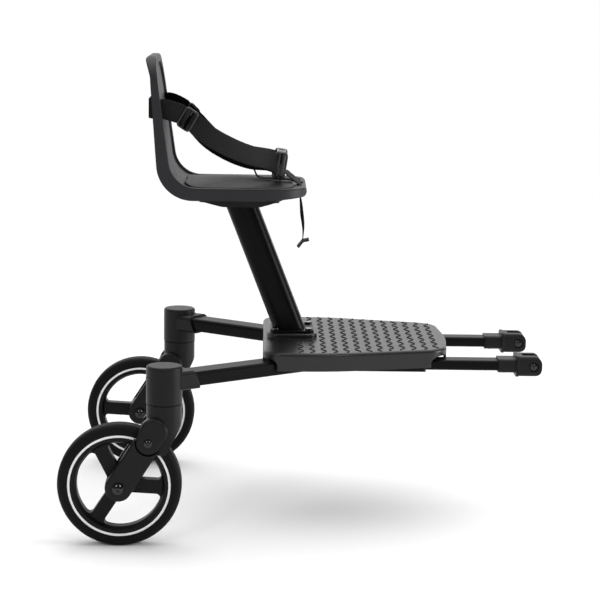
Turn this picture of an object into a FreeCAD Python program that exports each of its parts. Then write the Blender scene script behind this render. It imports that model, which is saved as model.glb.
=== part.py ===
"""Buggy board with a seat: a ride-on deck that trails behind a pushchair.

Two swivel wheels on sprung trailing forks carry the rear, a splayed tube frame carries the deck, and two
telescopic hitch tubes reach forward to the pushchair. A leaning post holds a moulded seat with a lap belt.
Millimetres. +X points forward to the hitch, +Y to the left and +Z up. The origin lies on the floor under
the middle of the board. In every function, side is +1 for left and -1 for right.
"""
import FreeCAD
import Part
import math
import os

Vec = FreeCAD.Vector
UP = Vec(0, 0, 1)
SIDES = (("left", 1), ("right", -1))

# Clearances
fit_gap = 0.05            # parts pushed together that stay together
run_gap = 0.05            # a shaft that turns in a hole
slide_gap = 0.1           # a bar that slides in a guide
pass_gap = 0.4            # faces that pass each other
soft_gap = 0.3            # webbing and padding beside hard parts

# Wheels
wheel_r = 76.0
tyre_w = 28.0
track = 412.0             # between the two swivel axes
axle_x = -227.5
tyre_shoulder_r = 8.0
rim_w = 25.0
rim_seat_r = 57.0         # where the tyre sits
rim_wall = 4.5
rim_face_r = 55.5         # the rim opens to this radius at its two faces
rim_edge_r = 1.5
rim_lip_h = 3.2
rim_lip_t = 2.0
ring_w = 2.8              # the pale ring between rim and tyre
ring_t = 1.4
ring_proud = 0.3
hub_r = 17.0
hub_w = 26.0
spoke_count = 3
spoke_w = 17.4
spoke_t = 13.0
window_corner_r = 5.0
first_spoke_deg = {"left": 177.0, "right": -3.0}
bearing_r = 11.0
bearing_w = 7.0
axle_r = 4.0
axle_head_r = 7.5
axle_head_t = 3.2

# Suspension fork
leg_gap = 2.5             # tyre to fork leg
leg_t = 10.5
leg_half_w = 16.5
leg_edge_r = 3.0
pivot_ahead = 36.0        # fork pivot, from the axle
pivot_above = 56.5
seam_r = 15.5             # round boss of the knuckle that the leg ends against
leg_shoulder = 6.0        # where the leg's full thickness starts, below the pivot
tongue_t = 5.0
tongue_r = 14.0
bridge_reach = 86.0       # axle to the bar that joins the two legs over the tyre
bridge_r = 5.0
bridge_wrap = 1.0
suspension_deg = 12.0
buffer_r = 5.5
buffer_w = 26.0
pivot_screw_r = 3.0
pivot_head_r = 4.8
pivot_head_t = 2.2
pivot_recess = 1.0

# Caster housing and knuckle
trail = 54.0              # axle to swivel axis
barrel_r = 22.0
barrel_edge_r = 3.0
housing_top_z = 224.0
seam_z = 177.0
seam_gap = 0.8
knuckle_shrink = 0.5      # the knuckle's barrel is this much smaller in radius
knuckle_shoulder_z = 152.0
knuckle_toe_x = 3.0       # foot of the barrel's front slope, from the swivel axis
knuckle_toe_z = 116.0
knuckle_slope_r = 26.0
dome_ahead = 6.5          # round top of the knuckle's cheek, from the pivot
dome_above = 13.0
dome_r = 17.0
cheek_edge_r = 4.0
cheek_root = 12.0         # how far inside its outer face the cheek is rooted, from the wheel's middle
arch_gap = 8.0            # tyre to the knuckle's arch
stem_r = 6.0
stem_foot_z = 162.0
stem_top_z = 219.0
stem_groove_r = 4.6
stem_groove_h = 4.4
bush_r = 9.0
bush_flange_r = 14.0
bush_flange_t = 1.5
low_bush_top_z = 196.0
high_bush_foot_z = 213.0
button_z = 208.6
button_turn_deg = 27.0    # from straight back, towards the outside
button_w = 15.0
button_h = 2.6
button_proud = 0.5
button_root_r = 9.6
button_travel = 2.5

# Frame tubes
tube_z = 205.0
outer_w = 34.0
outer_h = 18.0
outer_corner_r = 5.0
outer_wall = 1.8
hitch_half = 80.0         # middle of the board to each hitch tube
splay_deg = 35.4
bend_r = 70.0
tube_start = 15.0         # rear end of the outer tube, from the swivel axis
outer_end_x = 150.5
inner_w = 28.0
inner_h = 13.0
inner_corner_r = 4.0
inner_wall = 1.6
inner_rear_x = 78.0
socket_w = 40.0
socket_h = 23.0
socket_corner_r = 6.0
socket_low_reach = 41.0   # swivel axis to the socket's mouth, at the bottom
socket_high_reach = 32.0
bush_len = 44.0
bush_lip_t = 2.5
clamp_back = 18.0         # clamp screw, behind the outer tube's mouth
clamp_screw_r = 3.0
clamp_head_r = 5.0
clamp_head_t = 5.0

# Hitch clevis
sleeve_x = 245.5
sleeve_w = 32.0
sleeve_h = 17.5
sleeve_corner_r = 5.0
sleeve_lead = 4.0         # length of the slope at the sleeve's mouth
sleeve_lead_t = 1.2
block_x = 268.0
block_w = 36.0
block_h = 25.5
block_corner_r = 5.0
collar_len = 3.5
collar_grow = 0.8
hitch_bolt_x = 290.5
clevis_end = 10.5         # bolt to the block's end
clevis_end_r = 10.0
hitch_slot_w = 13.0
hitch_slot_x = 277.0
tube_stop_x = 272.0
hitch_bolt_r = 4.0
hitch_head_r = 5.6
hitch_head_t = 3.2
hitch_recess_r = 6.3
hitch_recess = 4.0
clevis_screw_x = 254.0
clevis_screw_r = 2.0
clevis_head_r = 3.6
clevis_head_t = 1.7

# Deck
deck_top_z = 226.0
deck_foot_z = 203.0
deck_rear_x = -54.5
deck_half_w = 134.0
deck_taper_x = 34.5       # where the sides start to draw in
deck_taper_r = 260.0
deck_rear_r = 24.0
deck_front_x = 186.5
deck_corner_x = 179.0
deck_corner_y = 95.0
deck_corner_r = 34.0
deck_nose_r = 400.0
deck_wall = 3.2
deck_skin = 3.5
deck_rim_r = 4.0
deck_rib_t = 2.4
deck_rib_count = 7
arch_side = 3.0           # gap between an arm and its arch in the deck
arch_top = 3.0
boss_r = 5.5
grip_pitch = 14.4
grip_first_x = -6.5
grip_rows = 13
grip_amp = 3.1
grip_wave = 29.0
grip_line_w = 2.2
grip_h = 0.8
grip_margin = 7.0

# Cross members under the deck
plate_t = 3.0
plate_rear_x = -46.0
plate_front_x = 24.0
plate_rear_past = 5.6     # how far the plate reaches past the arms' axes
plate_front_past = 15.0
plate_corner_r = 8.0
plate_hole_r = 11.0
bar_x = 104.0
bar_w = 24.0
bar_past = 16.0
rivet_r = 2.4
rivet_head_r = 4.5
rivet_head_t = 2.0
rivet_rows_x = (-34.0, 8.0, 116.0)
deck_screw_r = 2.0
deck_screw_bite = 6.5
deck_screw_head_r = 4.0
deck_screw_head_t = 2.4
deck_screw_spots = ((-34.0, 62.0), (12.0, 58.0), (116.0, 42.0))

# Seat post
lean_deg = 21.6
post_len_x = 42.0         # fore and aft, level
post_w = 44.0
post_corner_r = 15.0
post_wall = 2.2
post_foot_x = -20.5       # middle of the post where it meets the foot
foot_z = 232.5
foot_t = 3.5
foot_len = 57.0
foot_w = 62.0
foot_corner_r = 10.0
foot_x = -16.8
plinth_margin = 4.0
plinth_edge_r = 2.5
spigot_len = 42.0
foot_bolt_r = 3.0
foot_bolt_inset = 6.8
foot_head_r = 4.7
foot_head_t = 2.6
foot_nut_r = 5.5
foot_nut_t = 5.0

# Seat
pan_z = 426.5             # top of the rim round the pan
pan_foot_z = 411.0
nose_x = 1.5
nose_foot_x = -3.0
nose_foot_z = 415.5
nose_r = 5.0
pan_rise_x = -60.0        # where the underside starts to rise to the nose
heel_x = -170.6           # where the pan's top meets the back's front face
heel_t = 16.5             # from there back to the rear face, at the foot
back_lean_deg = 8.1
inner_bend_r = 36.0
outer_bend_r = 46.0
back_top_z = 589.0
lip_share = 0.85          # foot of the back's rear lip, as a share of the back's height
lip_t = 13.3
neck_t = 8.9
lip_r = 4.0
neck_r = 20.0
seat_half_w = 93.0
seat_front_r = 52.0
back_draw = 9.0           # how much narrower the back is at its top, each side
top_r_share = 0.28        # radius of the top corners, as a share of the back's height
shoulder_share = 0.268    # where the back starts to draw in
seat_wall = 3.2
dish_inset = 9.0
dish_depth = 3.0
seat_rib_y = 40.0
seat_rib_t = 2.6
belt_slot_inset = 17.0    # from the seat's side to the slot's middle
belt_slot_w = 7.0
slot_share = 0.6          # height of the slots, as a share of the back's height
belt_slot_h = 30.0
slot_corner_r = 2.0
crotch_slot_inset = 10.0  # from the nose to the slot's middle
crotch_slot_len = 7.0
pad_front_gap = 9.5       # from the crotch strap's slot
pad_rear_gap = 19.6       # from the heel
pad_side_gap = 4.0        # from the dish's side wall
pad_corner_r = 40.0
pad_edge_h = 3.4
pad_crown = 3.0
pad_edge_r = 2.0
bracket_half_w = 48.0
bracket_foot_z = 398.5
bracket_rear_x = -147.5
bracket_front_x = -27.5
bracket_edge_z = 408.0
bracket_flat_past = 3.0   # how far the flat foot reaches past the post, each way
bracket_bend_r = 20.0
bracket_edge_r = 3.0
seat_screw_r = 2.5
seat_screw_head_r = 4.5
seat_screw_head_t = 2.2
seat_screw_bite = 9.0
seat_boss_r = 7.0
seat_screw_spots_x = (-134.0, -40.0)
seat_screw_y = 30.0

# Belt
web_w = 25.0
web_t = 1.6
glide_len = 18.0
glide_h = 33.0
glide_t = 4.0
glide_bar = 3.0
glide_corner_r = 3.0
glide_slot_r = 0.8
glide_at = 4              # station of the belt's route that the slide sits behind
glide_share = {"left": 0.3, "right": 0.75}   # how near to that station
glide_turn_deg = 5.0      # the slides lie flatter than the webbing
buckle_back = 27.0        # from the crotch strap's slot
buckle_above = 24.5       # from the pan's rim
buckle_lean_deg = 8.0
buckle_h = 36.0
buckle_t = 12.0
buckle_corner_r = 5.0
buckle_edge_r = 2.0
socket_len = 36.0
tongue_len = 20.0
buckle_bar = 5.0
prong_h = 5.0
prong_reach = 24.0
prong_gap = 0.4
prong_edge_r = 1.0
crotch_w = 20.0
crotch_bend_r = 4.0
strap_past = 1.0          # how far the strap comes out of the slot before its tail
tail_w = 9.0
tail_t = 1.4
tail_bend_r = 40.0
stopper_t = 3.2
stopper_w = 15.0
stopper_bend_r = 3.0
stopper_rear = (-6.2, -8.0)
stopper_front = (8.2, 2.0)

# Belt's stations on one side, from the back's middle to the buckle. Each has its place as shares of the way
# from the slot to the buckle, out from the buckle's end to the slot, and up from the buckle to the slot, and
# how much lower it hangs on the left.
belt_shares = ((-0.114, 0.581, 1.0, 0.012), (-0.054, 0.969, 1.0, 0.012), (0.027, 1.021, 1.0, 0.012),
               (0.154, 1.168, 0.943, 0.096), (0.231, 1.231, 0.845, 0.17), (0.325, 1.258, 0.678, 0.24),
               (0.409, 1.235, 0.562, 0.247), (0.575, 1.069, 0.37, 0.219), (0.744, 0.704, 0.215, 0.151),
               (0.903, 0.182, 0.11, 0.068))
# Side views of the crotch strap's two layers, from the slot's middle and the pan's rim, and of its tail, from
# the slot's middle and the pan's foot.
crotch_front = ((-22.1, 13.1), (-18.1, 13.2), (-13.1, 8.9), (-7.8, 4.6), (-3.0, 0.7), (0.0, -5.0))
crotch_under = ((-60.3, 16.6), (-57.6, 10.6), (-54.8, 7.0), (-47.2, 5.3), (-36.5, 5.0), (-27.0, 4.6),
                (-16.5, 4.1), (-8.0, 2.4), (-3.0, -0.6), (0.0, -6.0))
tail_hang = ((0.0, -1.1), (1.5, -13.0), (2.7, -26.0), (4.5, -38.0), (5.1, -49.0), (4.2, -59.0))

# Derived places
swivel_x = axle_x + trail
pivot = (axle_x + pivot_ahead, wheel_r + pivot_above)
axle = (axle_x, wheel_r)
leg_in = tyre_w / 2 + leg_gap
leg_out = leg_in + leg_t
leg_heading = math.atan2(pivot_above, pivot_ahead)
bridge = (axle_x + bridge_reach * math.cos(leg_heading), wheel_r + bridge_reach * math.sin(leg_heading))
rim_lip_r = rim_seat_r + rim_lip_h
bead_y = rim_w / 2 - rim_lip_t
tube_top_z = tube_z + outer_h / 2
plate_top_z = tube_top_z + plate_t
lean = math.tan(math.radians(lean_deg))
dish_z = pan_z - dish_depth
floor_z = dish_z - seat_wall
bend_x = swivel_x + (track / 2 - hitch_half) / math.tan(math.radians(splay_deg))
back_h = back_top_z - pan_z
back_slope = math.tan(math.radians(back_lean_deg))
lip_foot_z = pan_z + lip_share * back_h
lip_rear_x = heel_x - back_h * back_slope - lip_t
belt_slot_z = pan_z + slot_share * back_h
belt_slot_y = seat_half_w - belt_slot_inset
crotch_slot_x = nose_x - crotch_slot_inset
pad_front_x = crotch_slot_x - pad_front_gap
pad_rear_x = heel_x + pad_rear_gap
pad_half_w = seat_half_w - dish_inset - pad_side_gap
buckle_x = crotch_slot_x - buckle_back
buckle_z = pan_z + buckle_above


def outline(corners, place):
    """Closed wire through corners (x, y, radius): straight runs and corner arcs, put by place(x, y)."""
    edges = []
    turns = []
    for i, (x, y, radius) in enumerate(corners):
        here = Vec(x, y, 0)
        back = Vec(*corners[i - 1][:2], 0) - here
        ahead = Vec(*corners[(i + 1) % len(corners)][:2], 0) - here
        back.normalize()
        ahead.normalize()
        half = back.getAngle(ahead) / 2
        if radius == 0 or abs(math.cos(half)) < 1e-6:
            turns.append((here, None, here))
            continue
        reach = radius / math.tan(half)
        middle = back + ahead
        middle.normalize()
        top = here + middle * (radius / math.sin(half) - radius)
        turns.append((here + back * reach, top, here + ahead * reach))
    for i, (start, top, end) in enumerate(turns):
        if top is not None:
            arc = Part.Arc(place(start.x, start.y), place(top.x, top.y), place(end.x, end.y))
            edges.append(arc.toShape())
        following = turns[(i + 1) % len(turns)][0]
        if end.distanceToPoint(following) > 1e-6:
            edges.append(Part.makeLine(place(end.x, end.y), place(following.x, following.y)))
    return Part.Wire(edges)


def inset(corners, depth):
    """Corners of a convex outline, listed anticlockwise, moved inwards by depth; radii shrink with it."""
    moved = []
    for i, (x, y, radius) in enumerate(corners):
        here = Vec(x, y, 0)
        come = here - Vec(*corners[i - 1][:2], 0)
        go = Vec(*corners[(i + 1) % len(corners)][:2], 0) - here
        come.normalize()
        go.normalize()
        normal = Vec(-come.y - go.y, come.x + go.x, 0)
        normal.normalize()
        reach = depth / (normal.x * -come.y + normal.y * come.x)
        moved.append((x + normal.x * reach, y + normal.y * reach, max(radius - depth, 0)))
    return moved


def prism_xy(corners, z0, z1):
    """Solid with the given plan between two heights."""
    return Part.Face(outline(corners, lambda x, y: Vec(x, y, z0))).extrude(Vec(0, 0, z1 - z0))


def prism_xz(corners, y0, y1):
    """Solid with the given side view between two widths."""
    return Part.Face(outline(corners, lambda x, z: Vec(x, y0, z))).extrude(Vec(0, y1 - y0, 0))


def prism_yz(corners, x0, x1):
    """Solid with the given front view between two lengths."""
    return Part.Face(outline(corners, lambda y, z: Vec(x0, y, z))).extrude(Vec(x1 - x0, 0, 0))


def rectangle(width, height, radius, x=0.0, y=0.0):
    """Corners of a rectangle with round corners, anticlockwise."""
    a = width / 2
    b = height / 2
    return [(x + a, y - b, radius), (x + a, y + b, radius), (x - a, y + b, radius), (x - a, y - b, radius)]


def belt_prism(first, r1, second, r2, y0, y1):
    """Solid between two widths whose side view is a belt round two circles."""
    heading = math.atan2(second[1] - first[1], second[0] - first[0])
    apart = math.hypot(second[0] - first[0], second[1] - first[1])
    open_angle = math.acos((r1 - r2) / apart)

    def rim(centre, radius, angle):
        return Vec(centre[0] + radius * math.cos(angle), y0, centre[1] + radius * math.sin(angle))

    ends = []
    for centre, radius, middle in ((first, r1, heading + math.pi), (second, r2, heading)):
        high = rim(centre, radius, heading + open_angle)
        low = rim(centre, radius, heading - open_angle)
        ends.append((high, rim(centre, radius, middle), low))
    (a_high, a_mid, a_low), (b_high, b_mid, b_low) = ends
    wire = Part.Wire([
        Part.Arc(a_high, a_mid, a_low).toShape(),
        Part.makeLine(a_low, b_low),
        Part.Arc(b_low, b_mid, b_high).toShape(),
        Part.makeLine(b_high, a_high),
    ])
    return Part.Face(wire).extrude(Vec(0, y1 - y0, 0))


def rod_y(point, radius, y0, y1):
    """Cylinder along Y through a point of the side view."""
    low = min(y0, y1)
    return Part.makeCylinder(radius, abs(y1 - y0), Vec(point[0], low, point[1]), Vec(0, 1, 0))


def rod_z(x, y, radius, z0, z1):
    """Upright cylinder."""
    return Part.makeCylinder(radius, z1 - z0, Vec(x, y, z0))


def join(shapes):
    """One solid from touching shapes."""
    whole = shapes[0].fuse(list(shapes[1:]))
    return whole.removeSplitter()


def cut(shape, tools):
    """Shape with the tools taken away."""
    return shape.cut(list(tools))


def round_edges(shape, radius, wanted):
    """Shape with a fillet on every edge for which wanted(edge) holds."""
    return shape.makeFillet(radius, [edge for edge in shape.Edges if wanted(edge)])


def lies_at(edge, axis, value):
    """True if the whole edge lies in the plane where the axis has that value."""
    box = edge.BoundBox
    low = {"x": box.XMin, "y": box.YMin, "z": box.ZMin}[axis]
    high = {"x": box.XMax, "y": box.YMax, "z": box.ZMax}[axis]
    return abs(low - value) < 1e-3 and abs(high - value) < 1e-3


def save(name, shape):
    """Write one node."""
    shape.exportStep("parts/" + name + ".step")
    state = "ok" if shape.isValid() else "INVALID"
    print(name, len(shape.Solids), round(shape.Volume / 1000, 2), "cm3", state)


# Frame tubes: the outer tubes run from the casters, bend under the deck and end ahead of its middle.

def arm_heading(side):
    """Level unit vector along the splayed arm, from the caster inwards."""
    turn = math.radians(splay_deg)
    return Vec(math.cos(turn), -side * math.sin(turn), 0)


def arm_point(side, reach):
    """Point on the arm's axis, that far from the swivel axis."""
    return Vec(swivel_x, side * track / 2, tube_z) + arm_heading(side) * reach


def arm_half_y(x):
    """Distance of the outer tube's axis from the middle of the board at a length x."""
    straight = track / 2 - (x - swivel_x) * math.tan(math.radians(splay_deg))
    return max(straight, hitch_half)


def tube_face(centre, heading, width, height, radius):
    """Upright section of a tube, square to its heading."""
    across = Vec(-heading.y, heading.x, 0)
    return Part.Face(outline(rectangle(width, height, radius), lambda a, b: centre + across * a + UP * b))


def bent_bar(side, width, height, radius, start, end_x):
    """Solid bar along the outer tube's path: a splayed run, a bend and a run straight ahead."""
    heading = arm_heading(side)
    turn = math.radians(splay_deg)
    tangent = bend_r * math.tan(turn / 2)
    corner = Vec(bend_x, side * hitch_half, tube_z)
    bend_start = corner - heading * tangent
    bend_end = corner + Vec(tangent, 0, 0)
    rear = arm_point(side, start)
    centre = bend_end + Vec(0, side * bend_r, 0)
    ahead = Vec(1, 0, 0)
    run = tube_face(rear, heading, width, height, radius).extrude(bend_start - rear)
    bend = tube_face(bend_start, heading, width, height, radius).revolve(centre, UP, side * splay_deg)
    front = tube_face(bend_end, ahead, width, height, radius).extrude(Vec(end_x - bend_end.x, 0, 0))
    return join([run, bend, front])


def straight_bar(side, width, height, radius, x0, x1):
    """Solid bar along a hitch tube's axis."""
    start = Vec(x0, side * hitch_half, tube_z)
    return tube_face(start, Vec(1, 0, 0), width, height, radius).extrude(Vec(x1 - x0, 0, 0))


def outer_tube(side):
    """Bent aluminium tube from the caster socket to its mouth under the deck's front."""
    bar = bent_bar(side, outer_w, outer_h, outer_corner_r, tube_start, outer_end_x)
    bore = bent_bar(side, outer_w - 2 * outer_wall, outer_h - 2 * outer_wall, outer_corner_r - outer_wall,
                    tube_start - 1, outer_end_x + 1)
    holes = [rod_z(x, side * arm_half_y(x), rivet_r + fit_gap, tube_z, tube_top_z + 1) for x in rivet_rows_x]
    return cut(bar, [bore, clamp_hole(side)] + holes)


def clamp_hole(side):
    """Hole for the clamp screw, from the inner face to the tube's bore."""
    inner = side * (hitch_half - outer_w / 2)
    start = Vec(outer_end_x - clamp_back, inner - side, tube_z)
    return Part.makeCylinder(clamp_screw_r + fit_gap, outer_w / 2, start, Vec(0, side, 0))


def hitch_tube(side):
    """Straight inner tube that slides in the outer one."""
    bar = straight_bar(side, inner_w, inner_h, inner_corner_r, inner_rear_x, tube_stop_x)
    bore = straight_bar(side, inner_w - 2 * inner_wall, inner_h - 2 * inner_wall, inner_corner_r - inner_wall,
                        inner_rear_x - 1, tube_stop_x + 1)
    screw = rod_z(clevis_screw_x, side * hitch_half, clevis_screw_r + fit_gap, tube_z - inner_h, tube_z)
    return cut(bar, [bore, screw])


def guide_bush(side):
    """Plastic guide in the mouth of the outer tube, with a lip that covers the tube's end."""
    bore_w = outer_w - 2 * outer_wall - 2 * fit_gap
    bore_h = outer_h - 2 * outer_wall - 2 * fit_gap
    sleeve = straight_bar(side, bore_w, bore_h, outer_corner_r - outer_wall, outer_end_x - bush_len,
                          outer_end_x)
    lip = straight_bar(side, outer_w, outer_h, outer_corner_r, outer_end_x, outer_end_x + bush_lip_t)
    hole = straight_bar(side, inner_w + 2 * slide_gap, inner_h + 2 * slide_gap, inner_corner_r + slide_gap,
                        outer_end_x - bush_len - 1, outer_end_x + bush_lip_t + 1)
    return cut(join([sleeve, lip]), [hole, clamp_hole(side)])


def clamp_screw(side):
    """Screw through the inner face of the outer tube that holds the hitch tube where it is set."""
    face = side * (hitch_half - outer_w / 2)
    tip = side * (hitch_half - inner_w / 2 - slide_gap)
    spot = (outer_end_x - clamp_back, tube_z)
    shank = rod_y(spot, clamp_screw_r, face, tip)
    head = rod_y(spot, clamp_head_r, face - side * clamp_head_t, face)
    return join([shank, head])


# Hitch clevis: a moulded block on the end of each hitch tube, slotted for the pushchair's coupling.

def hitch_clevis(side):
    """Sleeve over the tube, a collar and a round-ended block with a slot and recessed bolt holes."""
    y = side * hitch_half
    half_h = block_h / 2
    end_x = hitch_bolt_x + clevis_end
    sleeve = straight_bar(side, sleeve_w, sleeve_h, sleeve_corner_r, sleeve_x, block_x + collar_len)
    mouth = sleeve_w / 2 - sleeve_lead_t
    near = [(sleeve_x, -mouth), (sleeve_x + sleeve_lead, -sleeve_w / 2), (end_x, -sleeve_w / 2)]
    plan = [(x, y + w, 0) for x, w in near] + [(x, y - w, 0) for x, w in reversed(near)]
    sleeve = sleeve.common(prism_xy(plan, tube_z - sleeve_h, tube_z + sleeve_h))
    block = straight_bar(side, block_w, block_h, block_corner_r, block_x, end_x)
    side_view = [(block_x - 1, tube_z - half_h, 0), (end_x, tube_z - half_h, clevis_end_r),
                 (end_x, tube_z + half_h, clevis_end_r), (block_x - 1, tube_z + half_h, 0)]
    block = block.common(prism_xz(side_view, y - block_w, y + block_w))
    collar = straight_bar(side, block_w + 2 * collar_grow, block_h + 2 * collar_grow,
                          block_corner_r + collar_grow, block_x, block_x + collar_len)
    bore = straight_bar(side, inner_w + 2 * fit_gap, inner_h + 2 * fit_gap, inner_corner_r + fit_gap,
                        sleeve_x - 1, tube_stop_x + fit_gap)
    slot = prism_xy(rectangle(end_x - hitch_slot_x + 2, hitch_slot_w, 0, (end_x + hitch_slot_x + 2) / 2, y),
                    tube_z - block_h, tube_z + block_h)
    bolt = (hitch_bolt_x, tube_z)
    holes = [rod_y(bolt, hitch_bolt_r + fit_gap, y - block_w, y + block_w)]
    for face in (-1, 1):
        outside = y + face * block_w / 2
        holes.append(rod_y(bolt, hitch_recess_r, outside - face * hitch_recess, outside + face))
    holes.append(rod_z(clevis_screw_x, y, clevis_screw_r + fit_gap, tube_z - sleeve_h, tube_z))
    return cut(join([sleeve, block, collar]), [bore, slot] + holes)


def hitch_bolt(side):
    """Cross bolt of the clevis with its head and its nut, both sunk in the cheeks."""
    y = side * hitch_half
    seat = block_w / 2 - hitch_recess
    bolt = (hitch_bolt_x, tube_z)
    shank = rod_y(bolt, hitch_bolt_r, y - seat - hitch_head_t, y + seat)
    head = rod_y(bolt, hitch_head_r, y + seat, y + seat + hitch_head_t)
    nut = cut(rod_y(bolt, hitch_head_r, y - seat - hitch_head_t, y - seat),
              [rod_y(bolt, hitch_bolt_r + fit_gap, y - block_w, y)])
    return Part.makeCompound([join([shank, head]), nut])


def clevis_screw(side):
    """Screw from below that fixes the clevis to its tube."""
    y = side * hitch_half
    foot = tube_z - sleeve_h / 2
    shank = rod_z(clevis_screw_x, y, clevis_screw_r, foot, tube_z - inner_h / 2 + inner_wall)
    head = rod_z(clevis_screw_x, y, clevis_head_r, foot - clevis_head_t, foot)
    return join([shank, head])


# Casters: housing on the arm, knuckle that swivels below it, sprung fork and wheel.

def caster_housing(side):
    """Moulded barrel with a socket for the arm, bored for the swivel bushes and slotted for the button."""
    y = side * track / 2
    foot = seam_z + seam_gap / 2
    barrel = round_edges(rod_z(swivel_x, y, barrel_r, foot, housing_top_z), barrel_edge_r,
                         lambda edge: lies_at(edge, "z", housing_top_z))
    heading = arm_heading(side)
    socket = tube_face(arm_point(side, 0), heading, socket_w, socket_h, socket_corner_r)
    socket = socket.extrude(heading * socket_low_reach)
    across = Vec(-heading.y, heading.x, 0)
    slant = [(-1, -socket_h, 0), (socket_low_reach, -socket_h / 2, 0), (socket_high_reach, socket_h / 2, 0),
             (-1, socket_h, 0)]
    origin = arm_point(side, 0) - across * socket_w
    mouth = Part.Face(outline(slant, lambda a, b: origin + heading * a + UP * b))
    mouth = mouth.extrude(across * 2 * socket_w)
    bore = tube_face(arm_point(side, tube_start - fit_gap), heading, outer_w + 2 * fit_gap,
                     outer_h + 2 * fit_gap, outer_corner_r + fit_gap).extrude(heading * 2 * socket_low_reach)
    shaft = rod_z(swivel_x, y, bush_r + fit_gap, foot - 1, stem_top_z + pass_gap)
    flange = rod_z(swivel_x, y, bush_flange_r + fit_gap, foot - 1, foot + bush_flange_t / 2)
    return cut(join([barrel, socket.common(mouth)]), [bore, shaft, flange, button_block(side, slide_gap, 0)])


def button_block(side, gap, proud):
    """Block of the release button, grown by a gap; with no stand-out it runs right through the wall."""
    turn = math.radians(button_turn_deg)
    out = Vec(-math.cos(turn), side * math.sin(turn), 0)
    along = Vec(-out.y, out.x, 0)
    reach = barrel_r + proud if proud else 2 * barrel_r
    root = button_root_r - button_travel - gap if gap else button_root_r
    start = Vec(swivel_x, side * track / 2, button_z - button_h / 2 - gap) + out * root
    width = button_w + 2 * gap
    across = along * (width / 2)
    end = start + out * (reach - root)
    corners = [start - across, start + across, end + across, end - across]
    face = Part.Face(Part.makePolygon(corners + corners[:1]))
    return face.extrude(UP * (button_h + 2 * gap))


def release_button(side):
    """Press button in the barrel's outer rear that lets the wheel's stem go; its face follows the barrel."""
    block = button_block(side, 0, button_proud)
    face = rod_z(swivel_x, side * track / 2, barrel_r + button_proud, button_z - button_h,
                 button_z + button_h)
    return block.common(face)


def swivel_bushes():
    """Upper and lower plain bushes of both casters; the lower ones have a thrust flange."""
    bushes = []
    foot = seam_z + seam_gap / 2
    for _, side in SIDES:
        y = side * track / 2
        stem = rod_z(swivel_x, y, stem_r + run_gap, foot - bush_flange_t, housing_top_z)
        flange = rod_z(swivel_x, y, bush_flange_r, foot - bush_flange_t / 3, foot + bush_flange_t / 2)
        low = join([rod_z(swivel_x, y, bush_r, foot, low_bush_top_z), flange])
        high = rod_z(swivel_x, y, bush_r, high_bush_foot_z, stem_top_z)
        bushes += [cut(low, [stem]), cut(high, [stem])]
    return Part.makeCompound(bushes)


def swivel_stem(side):
    """Steel pin pressed into the knuckle, with the groove that the release button's latch rides in."""
    y = side * track / 2
    pin = rod_z(swivel_x, y, stem_r, stem_foot_z, stem_top_z)
    low = button_z - stem_groove_h / 2
    groove = cut(rod_z(swivel_x, y, stem_r + 1, low, low + stem_groove_h),
                 [rod_z(swivel_x, y, stem_groove_r, low, low + stem_groove_h)])
    return cut(pin, [groove])


def turned(shape, side, angle_deg):
    """Copy of a fork shape swung about the fork's pivot, positive as the wheel rises."""
    copy = shape.copy()
    copy.rotate(Vec(pivot[0], side * track / 2, pivot[1]), Vec(0, 1, 0), angle_deg)
    return copy


def knuckle(side):
    """Swivelling lower barrel with two cheeks that hold the fork's pivots and an arch over the tyre."""
    y = side * track / 2
    top = seam_z - seam_gap / 2
    front = swivel_x + barrel_r
    profile = [(swivel_x - barrel_r, top, 0), (swivel_x - barrel_r, pivot[1], 0),
               (pivot[0], pivot[1] - seam_r, 0), (swivel_x + knuckle_toe_x, knuckle_toe_z, 0),
               (front, knuckle_shoulder_z, knuckle_slope_r), (front, top, 0)]
    barrel = rod_z(swivel_x, y, barrel_r - knuckle_shrink, knuckle_toe_z - seam_r, top)
    barrel = barrel.common(prism_xz(profile, y - barrel_r, y + barrel_r))
    beside = belt_prism(axle, leg_half_w + pass_gap, pivot, leg_half_w + pass_gap, y - leg_out, y + leg_out)
    beside = beside.common(prism_xz(below_shoulder(pass_gap), y - leg_out, y + leg_out))
    barrel = cut(barrel, [cut(beside, [rod_y(pivot, seam_r, y - leg_out, y + leg_out)])])
    dome = (pivot[0] + dome_ahead, pivot[1] + dome_above)
    solids = [barrel]
    holes = [rod_z(swivel_x, y, stem_r + fit_gap, stem_foot_z, top + 1)]
    for face in (-1, 1):
        outside = y + face * leg_out
        cheek = belt_prism(pivot, seam_r, dome, dome_r, y + face * cheek_root, outside)
        solids.append(round_edges(cheek, cheek_edge_r, lambda edge: lies_at(edge, "y", outside)))
        holes.append(rod_y(pivot, pivot_screw_r + fit_gap, y, outside))
        holes.append(rod_y(pivot, pivot_head_r + fit_gap, outside - face * pivot_recess, outside + face))
    reach = leg_in + tongue_t + pass_gap
    pocket = belt_prism(pivot, tongue_r + pass_gap, bridge, bridge_r + bridge_wrap + pass_gap,
                        y - reach, y + reach)
    leg_room = belt_prism(axle, leg_half_w + pass_gap, pivot, tongue_r + pass_gap, y - reach, y + reach)
    arch = rod_y(axle, wheel_r + arch_gap, y - leg_in - pass_gap, y + leg_in + pass_gap)
    seat = rod_y(buffer_spot(), buffer_r, y - buffer_w / 2, y + buffer_w / 2)
    steps = (0.0, suspension_deg / 3, 2 * suspension_deg / 3, suspension_deg)
    swept = [turned(shape, side, angle) for shape in (pocket, leg_room) for angle in steps]
    return cut(join(solids), swept + [arch, seat] + holes)


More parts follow.
